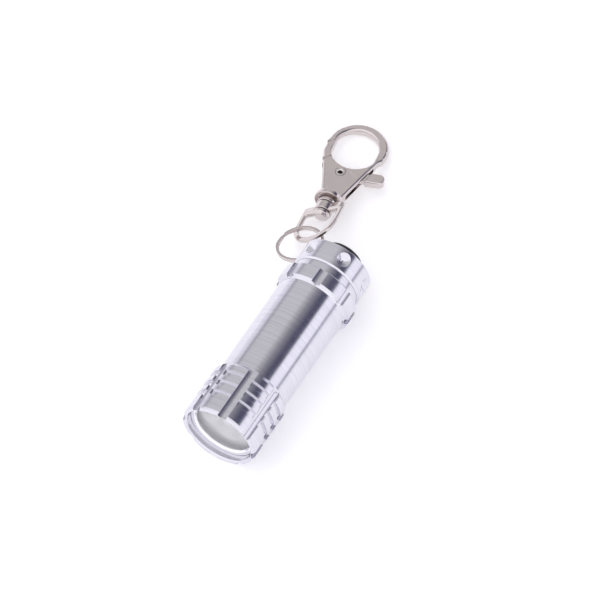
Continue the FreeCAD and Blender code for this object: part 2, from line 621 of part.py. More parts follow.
def make_swivel_eye():
    """D-shaped eye: a bent strap, a thicker crossbar and a boss bored for the post."""
    outer = "eye_half_width"
    inner = "(eye_half_width - eye_strap)"
    half_bar = "crossbar_width / 2"
    beyond = box(f"2 * {outer}", outer, "3 * eye_thickness", f"-{outer}", half_bar,
                 "-1.5 * eye_thickness")
    strap = cut(fuse(*stadium(outer, outer, "-eye_leg", half_bar, "eye_thickness")), beyond,
                *stadium(inner, inner, "-eye_leg", "0", "3 * eye_thickness"))
    bar = box(f"2 * {outer}", "crossbar_width", "crossbar_thickness", f"-{outer}",
              f"-{half_bar}", "-crossbar_thickness / 2")
    across = Placement(Vector(0, -number(half_bar), 0), ALONG)
    boss = set_down(clear(cylinder("boss_radius", "crossbar_width")), across)
    bore = set_down(clear(cylinder("post_radius + post_gap", "2 * crossbar_width")),
                    Placement(Vector(0, -number("crossbar_width"), 0), ALONG))
    keep(cut(fuse(strap, bar, boss), bore), "swivel_eye", EYE)


def make_swivel_post():
    """Post with a riveted head, a collar, a dished flange and a tenon."""
    under_head = "post_head_height"
    collar = f"{under_head} + 2 * post_end_gap + crossbar_width"
    flange = f"{collar} + post_collar_length"
    face = f"{flange} + flange_thickness"
    tenon = f"{face} + tenon_length"
    keep(turned([("0", "0"), ("post_head_radius * 0.55", "0"),
                 ("post_head_radius * 0.87", "post_head_height * 0.25"),
                 ("post_head_radius", "post_head_height * 0.65"),
                 ("post_head_radius", under_head), ("post_radius", under_head),
                 ("post_radius", collar), ("post_collar_radius", collar),
                 ("post_collar_radius", f"{flange} + flange_thickness / 3"),
                 ("flange_radius", flange), ("flange_radius", face), ("post_radius", face),
                 ("post_radius", tenon), ("0", tenon)]), "swivel_post", POST)


def clasp_blank(thickness, hook_thickness):
    """Slanted clasp body and the disc of its hook, before anything is cut out."""
    wedge = doc.addObject("Part::Wedge", "Wedge")
    low = "flange_thickness / 2 + slip"
    left = "-(clasp_left + clasp_shoulder * tan(clasp_left_slant))"
    right = "clasp_right + clasp_shoulder * tan(clasp_right_slant)"
    bind(wedge, Xmin="-clasp_left", Xmax="clasp_right", Ymin=low, Ymax=f"{low} + clasp_shoulder",
         Zmin=f"-({thickness}) / 2", Zmax=f"({thickness}) / 2", X2min=left, X2max=right,
         Z2min=f"-({thickness}) / 2", Z2max=f"({thickness}) / 2")
    disc = cylinder("hook_radius", hook_thickness, f"-({hook_thickness}) / 2",
                    "hook_side", "hook_centre")
    edge = box("hook_radius / 2", f"shoulder_top - ({low} + clasp_shoulder)", hook_thickness,
               left, f"{low} + clasp_shoulder", f"-({hook_thickness}) / 2")
    return fuse(wedge, disc, edge)


def clasp_loop():
    """The opening of the clasp's loop."""
    height = "3 * clasp_thickness"
    base = "-1.5 * clasp_thickness"
    return [cylinder("loop_radius", height, base, "loop_side", "loop_low"),
            cylinder("loop_radius", height, base, "loop_side", "loop_high"),
            box("2 * loop_radius", "loop_high - loop_low", height,
                "loop_side - loop_radius", "loop_low", base)]


def gate_window(shrink):
    """The stretch of the loop's left limb that the gate fills, less a gap all round it."""
    height = "3 * clasp_thickness"
    base = "-1.5 * clasp_thickness"
    block = box("hook_radius + loop_radius", "gate_reach", height,
                "-(hook_radius + loop_radius)", "gate_start", base)
    reach = cylinder(f"gate_reach - {shrink}", height, base, "pivot_side", "pivot_along")
    return cut(common(block, reach),
               cylinder(f"pivot_clear + {shrink}", height, base, "pivot_side", "pivot_along"))


def from_pivot(piece, angle, along, across, up):
    """Set a piece down in the frame that points from the gate's pivot at an angle."""
    pivot = Placement(Vector(number("pivot_side"), number("pivot_along"), 0),
                      Rotation(Z_AXIS, number(angle)))
    place = pivot * Placement(Vector(number(along), number(across), number(up)), Rotation())
    return set_down(clear(piece), place)


def make_clasp():
    """Clasp body, gate lever, rivet and gate spring."""
    blank = clasp_blank("clasp_thickness", "hook_thickness")
    slot = box("4 * hook_radius", "slot_end - slot_start", "slot_width", "-2 * hook_radius",
               "slot_start", "-slot_width / 2")
    rivet_hole = cylinder("rivet_radius", "2 * clasp_thickness", "-clasp_thickness",
                          "pivot_side", "pivot_along")
    tenon_bore = set_down(clear(cylinder("post_radius", "2 * tenon_length")),
                          Placement(Vector(0, number("flange_thickness / 2 - tenon_length"), 0),
                                    ALONG))
    keep(cut(blank, slot, rivet_hole, tenon_bore, gate_window("0"), *clasp_loop()),
         "clasp_body", CLASP)

    outside = clasp_blank("gate_thickness", "gate_thickness")
    arm = common(cut(outside, *clasp_loop()), gate_window("gate_gap"))
    web = "(slot_width - 2 * web_gap)"
    low = f"-{web} / 2"
    hub = cylinder("hub_radius", web, low, "pivot_side", "pivot_along")
    arm_reach = "pivot_clear + web_width / 2"
    arm_web = from_pivot(box(arm_reach, "web_width", web), "gate_arm_angle", "0",
                         "-web_width / 2", low)
    arm_web = common(arm_web, cut(clasp_blank("clasp_thickness", "clasp_thickness"),
                                  *clasp_loop()))
    tab_web = from_pivot(box("tab_start + web_width / 2", "web_width", web), "tab_angle", "0",
                         "-web_width / 2", low)
    tab_low = "-gate_thickness / 2"
    tab_length = "tab_end - tab_start - tab_width / 2"
    tab = from_pivot(box(tab_length, "tab_width", "gate_thickness"), "tab_angle", "tab_start",
                     "-tab_width / 2", tab_low)
    tip = from_pivot(cylinder("tab_width / 2", "gate_thickness"), "tab_angle",
                     "tab_end - tab_width / 2", "0", tab_low)
    pivot_hole = cylinder("rivet_radius + rivet_gap", "2 * clasp_thickness",
                          "-clasp_thickness", "pivot_side", "pivot_along")
    keep(cut(fuse(arm, hub, arm_web, tab_web, tab, tip), pivot_hole), "gate_lever", CLASP)

    rivet_length = "clasp_thickness + 2 * rivet_proud"
    flare = "rivet_bore + rivet_proud"
    rivet = turned([("rivet_bore", "rivet_proud"), (flare, "0"), ("rivet_radius", "0"),
                    ("rivet_radius", rivet_length), (flare, rivet_length),
                    ("rivet_bore", f"{rivet_length} - rivet_proud")])
    spot = Vector(number("pivot_side"), number("pivot_along"), -number(rivet_length) / 2)
    keep(rivet, "gate_rivet", CLASP * Placement(spot, Rotation()))

    along_tab = "(gate_spring_side - pivot_side - web_width / 2 * sin(tab_angle))"
    under_tab = (f"pivot_along + {along_tab} * tan(tab_angle)"
                 " - web_width / 2 * cos(tab_angle) - gate_spring_radius / 2")
    spring = coil("gate_spring_radius", "gate_spring_wire", "slot_start", under_tab, 5)
    keep(spring, "gate_spring",
         CLASP * Placement(Vector(number("gate_spring_side"), 0, 0), ALONG))


def check_and_write():
    """Stop on any failed object or bad solid, then write each sub-part's file."""
    doc.recompute()
    for obj in doc.Objects:
        if {"Invalid", "Error"} & set(obj.State):
            raise RuntimeError(f"{obj.Name} ({obj.Label}) failed: {obj.State}")
    os.makedirs("parts", exist_ok=True)
    for piece in SUB_PARTS:
        shape = piece.Shape
        if shape.isNull() or not shape.isValid() or not shape.Solids:
            raise RuntimeError(f"{piece.Label} has no valid solid")
    for piece in SUB_PARTS:
        piece.Shape.exportStep(os.path.join("parts", f"{piece.Label}.step"))
        extent = piece.Shape.BoundBox
        print(f"{piece.Label}: {piece.Shape.Volume:.2f} mm3, {len(piece.Shape.Solids)} solid, "
              f"x {extent.XMin:.2f}..{extent.XMax:.2f} y {extent.YMin:.2f}..{extent.YMax:.2f} "
              f"z {extent.ZMin:.2f}..{extent.ZMax:.2f}")


def main():
    """Build every sub-part, check it and write its file."""
    make_body_tube()
    make_optics()
    make_battery_pack()
    make_tail_cap()
    make_switch()
    make_split_ring()
    make_swivel_eye()
    make_swivel_post()
    make_clasp()
    check_and_write()


main()
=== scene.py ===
"""Keychain torch: the visual model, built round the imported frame.

The torch lies on its side, head towards -Y and tail towards +Y, with its split ring, swivel eye
and lobster clasp behind it. Sizes in the classes are millimetres; objects are in metres.
"""
import json
import logging
import math
from dataclasses import dataclass, field
from enum import Enum
from typing import Callable, Iterable, Sequence

import bmesh
import bpy
from mathutils import Matrix, Vector


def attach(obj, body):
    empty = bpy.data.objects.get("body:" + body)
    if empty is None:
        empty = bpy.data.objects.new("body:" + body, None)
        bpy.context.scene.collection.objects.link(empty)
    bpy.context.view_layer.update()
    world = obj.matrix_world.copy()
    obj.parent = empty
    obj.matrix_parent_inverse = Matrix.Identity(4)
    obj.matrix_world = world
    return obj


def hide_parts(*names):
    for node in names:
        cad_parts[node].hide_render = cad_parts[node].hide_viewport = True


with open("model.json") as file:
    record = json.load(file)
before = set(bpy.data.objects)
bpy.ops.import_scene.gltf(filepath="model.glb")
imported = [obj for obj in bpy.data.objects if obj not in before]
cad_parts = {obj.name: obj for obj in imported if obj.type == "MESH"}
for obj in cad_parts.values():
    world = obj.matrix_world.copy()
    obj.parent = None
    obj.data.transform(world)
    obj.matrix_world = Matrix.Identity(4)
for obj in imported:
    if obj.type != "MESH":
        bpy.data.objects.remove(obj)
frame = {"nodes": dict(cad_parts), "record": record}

LOG = logging.getLogger("keychain_torch")
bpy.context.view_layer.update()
MM = 0.001
FULL_TURN = 2.0 * math.pi
RIGHT_ANGLE = math.pi / 2.0
SHARP_EDGE = math.radians(34.0)
POINT = tuple[float, float]
CROWN_STEP = 0.6
FLAT_FACE = 0.98
CLOUD_SCALE = 260.0


# ---------------------------------------------------------------------------------------------
# Places
# ---------------------------------------------------------------------------------------------

def joint(name: str) -> dict:
    """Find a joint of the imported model.

    Args:
        name: The joint's name.

    Returns:
        The joint's own record, with its position and axis.
    """
    return next(entry for entry in frame["record"]["behaviour"]["joints"]
                if entry["name"] == name)


def frame_at(origin: Vector, x_axis: Vector, y_axis: Vector, z_axis: Vector) -> Matrix:
    """Make a placement from an origin in metres and three axes.

    Args:
        origin: Where the local origin lies.
        x_axis: Direction of local X.
        y_axis: Direction of local Y.
        z_axis: Direction of local Z.

    Returns:
        The placement as a 4 by 4 matrix.
    """
    turned = Matrix((x_axis, y_axis, z_axis)).transposed().to_4x4()
    return Matrix.Translation(origin) @ turned


def joint_place(name: str) -> Vector:
    """Position of a joint, in metres."""
    return Vector(joint(name)["pos_m"])


def joint_axis(name: str) -> Vector:
    """Direction of a joint's axis."""
    return Vector(joint(name)["axis"]).normalized()


class Places:
    """Placements that the sub-assemblies share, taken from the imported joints."""

    FLANGE_OFFSET = 3.25
    EYE_ROLL = math.radians(38.5)

    def __init__(self) -> None:
        """Work the placements out once."""
        self.torch = Matrix.Rotation(-RIGHT_ANGLE, 4, "X")
        along = joint_axis("clasp_swivel")
        normal = -joint_axis("gate_open")
        normal = (normal - along * normal.dot(along)).normalized()
        self.chain = frame_at(joint_place("clasp_swivel"), along.cross(normal), along, normal)
        self.clasp = self.chain @ Matrix.Translation((0.0, self.FLANGE_OFFSET * MM, 0.0))
        self.eye = self.chain @ Matrix.Rotation(-self.EYE_ROLL, 4, "Y")
        hub = joint_place("eye_slide")
        face = joint_axis("eye_slide")
        towards_cap = (joint_place("ring_swing") - hub).normalized()
        self.ring = frame_at(hub, towards_cap, face.cross(towards_cap), face)
        self.post = self.chain @ Matrix.Rotation(-RIGHT_ANGLE, 4, "X")


# ---------------------------------------------------------------------------------------------
# Finishes
# ---------------------------------------------------------------------------------------------

class Relief(Enum):
    """Kinds of fine relief that a finish can have."""

    TURNED = "rings left by the lathe"
    CAST = "slow waves of a plated casting"
    GRAIN = "fine grain of moulded rubber or plastic"
    COILED = "drawn wire"


@dataclass(frozen=True)
class Finish:
    """A finish with its colour, gloss and relief.

    Attributes:
        name: Name of the material.
        colour: Base colour, linear.
        shade: Second colour that the base colour wanders to.
        metallic: 1 for bare metal, 0 for plastic, rubber or glass.
        roughness: Gloss, 0 is a mirror.
        rough_spread: How far the gloss wanders over the surface.
        anisotropy: How far highlights are drawn out along the axis.
        relief: The kind of fine relief.
        relief_size: Size of the relief, in millimetres.
        relief_depth: Depth of the relief, in millimetres.
        alpha: Opacity.
        coat: Weight of a clear coat.
        glow: Strength of a faint painted glow, light that the surface gives off though it is no
            lamp.
    """

    name: str
    colour: tuple[float, float, float]
    shade: tuple[float, float, float]
    metallic: float
    roughness: float
    relief: Relief
    relief_size: float
    relief_depth: float
    rough_spread: float = 0.04
    anisotropy: float = 0.0
    alpha: float = 1.0
    coat: float = 0.0
    glow: float = 0.0

    def material(self) -> bpy.types.Material:
        """Make the material, or find it if it is made already.

        Returns:
            The material, with its nodes.
        """
        found = bpy.data.materials.get(self.name)
        if found is not None:
            return found
        made = bpy.data.materials.new(self.name)
        made.use_nodes = True
        nodes = made.node_tree.nodes
        links = made.node_tree.links
        shader = nodes["Principled BSDF"]
        shader.inputs["Metallic"].default_value = self.metallic
        shader.inputs["Alpha"].default_value = self.alpha
        shader.inputs["Coat Weight"].default_value = self.coat
        shader.inputs["Anisotropic"].default_value = self.anisotropy
        # Painted glow: the surface gives off faint light in its own colour, though it is no lamp.
        if self.glow > 0.0:
            shader.inputs["Emission Color"].default_value = (*self.colour, 1.0)
            shader.inputs["Emission Strength"].default_value = self.glow
        spot = nodes.new("ShaderNodeTexCoord")
        cloud = nodes.new("ShaderNodeTexNoise")
        cloud.inputs["Scale"].default_value = CLOUD_SCALE
        cloud.inputs["Detail"].default_value = 4.0
        links.new(spot.outputs["Object"], cloud.inputs["Vector"])
        blend = nodes.new("ShaderNodeMix")
        blend.data_type = "RGBA"
        blend.inputs[6].default_value = (*self.colour, 1.0)
        blend.inputs[7].default_value = (*self.shade, 1.0)
        height = self._relief(nodes, links, spot)
        links.new(height if self.relief is Relief.TURNED else cloud.outputs["Fac"],
                  blend.inputs[0])
        links.new(blend.outputs[2], shader.inputs["Base Color"])
        gloss = nodes.new("ShaderNodeMapRange")
        gloss.inputs["To Min"].default_value = max(self.roughness - self.rough_spread, 0.02)
        gloss.inputs["To Max"].default_value = self.roughness + self.rough_spread
        links.new(cloud.outputs["Fac"], gloss.inputs["Value"])
        links.new(gloss.outputs["Result"], shader.inputs["Roughness"])
        bump = nodes.new("ShaderNodeBump")
        bump.inputs["Distance"].default_value = self.relief_depth * MM
        links.new(height, bump.inputs["Height"])
        links.new(bump.outputs["Normal"], shader.inputs["Normal"])
        if self.anisotropy > 0.0:
            shader.inputs["Anisotropic Rotation"].default_value = 0.25
            tangent = nodes.new("ShaderNodeTangent")
            tangent.direction_type = "RADIAL"
            tangent.axis = "Y"
            links.new(tangent.outputs["Tangent"], shader.inputs["Tangent"])
        return made

    def _relief(self, nodes: bpy.types.Nodes, links: bpy.types.NodeLinks,
                spot: bpy.types.Node) -> bpy.types.NodeSocket:
        """Build the nodes of the fine relief.

        Args:
            nodes: The material's nodes.
            links: The material's links.
            spot: The texture coordinate node.

        Returns:
            The socket that carries the relief's height.
        """
        stretch = nodes.new("ShaderNodeMapping")
        fine = 1.0 / (self.relief_size * MM)
        if self.relief is Relief.TURNED:
            stretch.inputs["Scale"].default_value = (fine * 0.02, fine, fine * 0.02)
        else:
            stretch.inputs["Scale"].default_value = (fine, fine, fine)
        grain = nodes.new("ShaderNodeTexNoise")
        grain.inputs["Scale"].default_value = 1.0
        grain.inputs["Detail"].default_value = 1.0 if self.relief is Relief.CAST else 3.0
        links.new(spot.outputs["Object"], stretch.inputs["Vector"])
        links.new(stretch.outputs["Vector"], grain.inputs["Vector"])
        return grain.outputs["Fac"]


TURNED_ALUMINIUM = Finish("turned_aluminium_finish", (0.78, 0.77, 0.835), (0.60, 0.592, 0.65),
                          1.0, 0.20, Relief.TURNED, 0.42, 0.012, anisotropy=0.55)
POLISHED_RIM = Finish("polished_rim_finish", (0.90, 0.90, 0.92), (0.84, 0.84, 0.87),
                      1.0, 0.12, Relief.TURNED, 0.30, 0.002)
NICKEL = Finish("nickel_plate_finish", (0.68, 0.625, 0.615), (0.60, 0.545, 0.535),
                1.0, 0.15, Relief.CAST, 2.2, 0.03, rough_spread=0.05)
BRIGHT_WIRE = Finish("bright_wire_finish", (0.62, 0.62, 0.64), (0.5, 0.5, 0.52),
                     1.0, 0.25, Relief.COILED, 0.4, 0.003)
BLACK_RUBBER = Finish("black_rubber_finish", (0.012, 0.012, 0.013), (0.02, 0.02, 0.022),
                      0.0, 0.42, Relief.GRAIN, 0.12, 0.006)
BLACK_PLASTIC = Finish("black_plastic_finish", (0.02, 0.02, 0.022), (0.03, 0.03, 0.032),
                       0.0, 0.5, Relief.GRAIN, 0.25, 0.004)
BRASS = Finish("brass_contact_finish", (0.72, 0.55, 0.26), (0.62, 0.45, 0.2),
               1.0, 0.28, Relief.TURNED, 0.3, 0.003)
CELL_STEEL = Finish("cell_steel_finish", (0.62, 0.62, 0.64), (0.55, 0.55, 0.57),
                    1.0, 0.25, Relief.TURNED, 0.3, 0.002)
BOARD = Finish("board_finish", (0.03, 0.16, 0.07), (0.02, 0.12, 0.05),
               0.0, 0.45, Relief.GRAIN, 0.4, 0.004)
REFLECTOR = Finish("plated_reflector_finish", (0.88, 0.88, 0.90), (0.82, 0.82, 0.85),
                   0.45, 0.35, Relief.GRAIN, 0.3, 0.004)
CLEAR_LENS = Finish("clear_lens_finish", (0.90, 0.90, 0.93), (0.86, 0.86, 0.90),
                    0.0, 0.10, Relief.CAST, 3.0, 0.004, alpha=0.34, coat=0.4)
DIODE_RESIN = Finish("diode_resin_finish", (0.92, 0.92, 0.92), (0.86, 0.86, 0.88),
                     0.0, 0.10, Relief.CAST, 1.5, 0.003, alpha=0.6, coat=0.6)
# The diode cores carry a faint painted glow: light given off though the diodes are not lit.
DIODE_CORE = Finish("diode_core_finish", (0.85, 0.72, 0.30), (0.75, 0.62, 0.25),
                    0.0, 0.5, Relief.GRAIN, 0.3, 0.01, glow=0.15)
# Painted shade for the rivet's bore: a near black colour that stands in for the darkness deep in
# the hole.
HOLE_SHADE = Finish("painted_bore_shade_finish", (0.03, 0.026, 0.025), (0.05, 0.045, 0.04),
                    0.6, 0.5, Relief.GRAIN, 0.3, 0.004)


def dress_node(node: str, finish: Finish) -> None:
    """Give a CAD node that stays in view its finish.

    Args:
        node: Name of the CAD node.
        finish: The finish it gets.
    """
    mesh = frame["nodes"][node].data
    mesh.materials.clear()
    mesh.materials.append(finish.material())


# ---------------------------------------------------------------------------------------------
# Mesh making
# ---------------------------------------------------------------------------------------------

def rounded(corners: Sequence[tuple[float, float, float]], steps: int = 4) -> list[POINT]:
    """Round the corners of a closed outline.

    Args:
        corners: Points (u, v, radius); a radius of 0 keeps the corner sharp.
        steps: Straight pieces in each rounding.

    Returns:
        The points of the rounded outline.
    """
    out: list[POINT] = []
    count = len(corners)
    for index, (u, v, radius) in enumerate(corners):
        here = Vector((u, v))
        before = Vector(corners[index - 1][:2]) - here
        after = Vector(corners[(index + 1) % count][:2]) - here
        if radius <= 0.0 or before.length < 1e-9 or after.length < 1e-9:
            out.append((u, v))
            continue
        half = before.angle(after) / 2.0
        if half > RIGHT_ANGLE - 0.02:
            out.append((u, v))
            continue
        back = min(radius / math.tan(half), before.length * 0.48, after.length * 0.48)
        start = here + before.normalized() * back
        end = here + after.normalized() * back
        for step in range(steps + 1):
            share = step / steps
            first = start.lerp(here, share)
            second = here.lerp(end, share)
            point = first.lerp(second, share)
            out.append((point.x, point.y))
    return out


def arc(centre: POINT, radius: float, start: float, end: float, steps: int) -> list[POINT]:
    """Points along an arc.

    Args:
        centre: The arc's centre.
        radius: Its radius.
        start: First angle, radians.
        end: Last angle, radians.
        steps: Straight pieces along it.

    Returns:
        The points from start to end.
    """
    return [(centre[0] + radius * math.cos(start + (end - start) * step / steps),
             centre[1] + radius * math.sin(start + (end - start) * step / steps))
            for step in range(steps + 1)]


def crease(work: bmesh.types.BMesh) -> None:
    """Make every face smooth and keep the sharp edges sharp.

    Args:
        work: The mesh that is being worked on.
    """
    for face in work.faces:
        face.smooth = True
    for edge in work.edges:
        edge.smooth = len(edge.link_faces) != 2 or edge.calc_face_angle(0.0) < SHARP_EDGE


def finish_mesh(name: str, mesh: bpy.types.Mesh, place: Matrix) -> bpy.types.Object:
    """Turn a mesh in millimetres into a piece of the model, with smooth faces and kept creases.

    Args:
        name: Name of the piece.
        mesh: The mesh, in millimetres, in its own frame.
        place: Where the piece goes.

    Returns:
        The object, in metres, at the model's origin.
    """
    mesh.transform(place @ Matrix.Scale(MM, 4))
    work = bmesh.new()
    work.from_mesh(mesh)
    bmesh.ops.remove_doubles(work, verts=work.verts, dist=1e-7)
    bmesh.ops.recalc_face_normals(work, faces=work.faces)
    crease(work)
    work.to_mesh(mesh)
    work.free()
    piece = bpy.data.objects.new(name, mesh)
    bpy.context.scene.collection.objects.link(piece)
    even = piece.modifiers.new("EvenShading", "WEIGHTED_NORMAL")
    even.keep_sharp = True
    even.weight = 60
    return piece


def ring_grid(name: str, rings: Sequence[Sequence[Vector]], place: Matrix,
              closed_rings: bool = True) -> bpy.types.Object:
    """Skin a row of closed rings of points into one piece.

    Args:
        name: Name of the piece.
        rings: Rings of points in millimetres, each with the same count.
        place: Where the piece goes.
        closed_rings: Whether the last ring joins the first one.

    Returns:
        The finished piece.
    """
    mesh = bpy.data.meshes.new(name)
    count = len(rings[0])
    points = [point for ring in rings for point in ring]
    faces = []
    rows = len(rings) if closed_rings else len(rings) - 1
    for row in range(rows):
        low = row * count
        high = (row + 1) % len(rings) * count
        for column in range(count):
            beside = (column + 1) % count
            faces.append((low + column, low + beside, high + beside, high + column))
    if not closed_rings:
        faces.append(tuple(range(count))[::-1])
        faces.append(tuple(range((len(rings) - 1) * count, len(rings) * count)))
    mesh.from_pydata(points, [], faces)
    return finish_mesh(name, mesh, place)


def lathe(name: str, profile: Sequence[POINT], place: Matrix, around: int = 128,
          ) -> bpy.types.Object:
    """Turn a closed profile about local Z.

    Args:
        name: Name of the piece.
        profile: Closed outline of (radius, height) points, in millimetres.
        place: Where the piece goes.
        around: Count of steps round the axis.

    Returns:
        The finished piece.
    """
    rings = []
    for radius, height in profile:
        reach = max(radius, 0.0)
        rings.append([Vector((reach * math.cos(FULL_TURN * step / around),
                              reach * math.sin(FULL_TURN * step / around), height))
                      for step in range(around)])
    return ring_grid(name, rings, place)


def slab_mesh(name: str, outlines: Sequence[Sequence[POINT]], thickness: float,
              edge: float, steps: int = 4) -> bpy.types.Mesh:
    """Make a plate with rounded edges from outlines, the first one outside and the rest holes.

    Args:
        name: Name for the mesh.
        outlines: Closed outlines in millimetres.
        thickness: Thickness of the plate, centred on Z = 0.
        edge: Rounding of its edges.
        steps: Steps in the rounding.

    Returns:
        The mesh, in millimetres.
    """
    curve = bpy.data.curves.new(name, "CURVE")
    curve.dimensions = "2D"
    curve.fill_mode = "BOTH"
    curve.extrude = thickness / 2.0 - edge
    curve.bevel_depth = edge
    curve.bevel_resolution = steps
    curve.offset = -edge
    for outline in outlines:
        spline = curve.splines.new("POLY")
        spline.points.add(len(outline) - 1)
        for point, (u, v) in zip(spline.points, outline):
            point.co = (u, v, 0.0, 1.0)
        spline.use_cyclic_u = True
    holder = bpy.data.objects.new(name + "_outline", curve)
    bpy.context.scene.collection.objects.link(holder)
    bpy.context.view_layer.update()
    shape = holder.evaluated_get(bpy.context.evaluated_depsgraph_get())
    mesh = bpy.data.meshes.new_from_object(shape)
    bpy.data.objects.remove(holder)
    bpy.data.curves.remove(curve)
    return mesh


def rounded_plate(name: str, outline: Sequence[POINT], edges: Sequence[float],
                  half: Callable[[float, float], float], steps: int = 5) -> bpy.types.Mesh:
    """Make a plate whose edge rounding and thickness change from place to place.

    Args:
        name: Name for the mesh.
        outline: Closed outline in millimetres, counter-clockwise.
        edges: Rounding of the edge at each point of the outline.
        half: Gives half of the thickness at a place (u, v).
        steps: Steps in the rounding.

    Returns:
        The mesh, in millimetres, centred on Z = 0.
    """
    count = len(outline)
    inward = []
    for index in range(count):
        before = Vector(outline[index - 1])
        here = Vector(outline[index])
        after = Vector(outline[(index + 1) % count])
        along = (here - before).normalized() + (after - here).normalized()
        along.normalize()
        inward.append(Vector((-along.y, along.x)))
    work = bmesh.new()
    rows = []
    for side in (-1.0, 1.0):
        for step in range(steps + 1):
            share = step / steps if side > 0.0 else 1.0 - step / steps
            turn = share * RIGHT_ANGLE
            row = []
            for (u, v), edge, across in zip(outline, edges, inward):
                inset = edge * (1.0 - math.cos(turn))
                place = Vector((u, v)) + across * inset
                height = half(place.x, place.y) - edge * (1.0 - math.sin(turn))
                row.append(work.verts.new((place.x, place.y, side * height)))
            rows.append(row)
    for low, high in zip(rows, rows[1:]):
        for index in range(count):
            beside = (index + 1) % count
            work.faces.new((low[index], low[beside], high[beside], high[index]))
    caps = [work.faces.new(rows[0][::-1]), work.faces.new(rows[-1])]
    work.normal_update()
    bmesh.ops.triangulate(work, faces=caps, ngon_method="EAR_CLIP")
    reach = max(abs(u) for u, _ in outline)
    stations = int(2.0 * reach / CROWN_STEP)
    for station in range(1, stations):
        work.normal_update()
        flat = [face for face in work.faces if abs(face.normal.z) > FLAT_FACE]
        near = {part for face in flat for part in (face, *face.edges, *face.verts)}
        bmesh.ops.bisect_plane(work, geom=list(near), dist=1e-6,
                               plane_co=(station * CROWN_STEP - reach, 0.0, 0.0),
                               plane_no=(1.0, 0.0, 0.0))
    work.normal_update()
    for vertex in work.verts:
        if all(abs(face.normal.z) > FLAT_FACE for face in vertex.link_faces):
            vertex.co.z = math.copysign(half(vertex.co.x, vertex.co.y), vertex.co.z)
    mesh = bpy.data.meshes.new(name)
    work.to_mesh(mesh)
    work.free()
    return mesh


def merge(name: str, meshes: Iterable[bpy.types.Mesh]) -> bpy.types.Mesh:
    """Put several meshes into one.

    Args:
        name: Name for the new mesh.
        meshes: The meshes to join.

    Returns:
        The joined mesh.
    """
    work = bmesh.new()
    for mesh in meshes:
        work.from_mesh(mesh)
    joined = bpy.data.meshes.new(name)
    work.to_mesh(joined)
    work.free()
    return joined


def cut_with(piece: bpy.types.Object, tools: Sequence[bpy.types.Object]) -> None:
    """Cut tools out of a piece and clear the tools away.

    Args:
        piece: The piece, whose mesh changes.
        tools: Closed shapes that are cut from it.
    """
    for tool in tools:
        step = piece.modifiers.new("Cut", "BOOLEAN")
        step.operation = "DIFFERENCE"
        step.solver = "EXACT"
        step.object = tool
        piece.modifiers.move(len(piece.modifiers) - 1, 0)
    bpy.context.view_layer.update()
    shaded = [step for step in piece.modifiers if step.type == "WEIGHTED_NORMAL"]
    for step in shaded:
        step.show_viewport = False
    shape = piece.evaluated_get(bpy.context.evaluated_depsgraph_get())
    mesh = bpy.data.meshes.new_from_object(shape)
    for step in [step for step in piece.modifiers if step.type == "BOOLEAN"]:
        piece.modifiers.remove(step)
    for step in shaded:
        step.show_viewport = True
    work = bmesh.new()
    work.from_mesh(mesh)
    bmesh.ops.remove_doubles(work, verts=work.verts, dist=1e-6)
    crease(work)
    work.to_mesh(mesh)
    work.free()
    piece.data = mesh
    for tool in tools:
        bpy.data.objects.remove(tool)


def settle(piece: bpy.types.Object, body: str, finish: Finish, slot: str,
           *nodes: str) -> bpy.types.Object:
    """Dress a piece, tie it to its body and hide the CAD nodes that it stands for.

    Args:
        piece: The finished piece.
        body: The CAD body it rides on.
        finish: Its finish.
        slot: The record's material slot; not used.
        *nodes: CAD nodes that it replaces.

    Returns:
        The same piece.
    """
    piece.data.materials.clear()
    piece.data.materials.append(finish.material())
    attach(piece, body)
    if nodes:
        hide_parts(*nodes)
    return piece


# ---------------------------------------------------------------------------------------------
# Sub-assemblies
# ---------------------------------------------------------------------------------------------

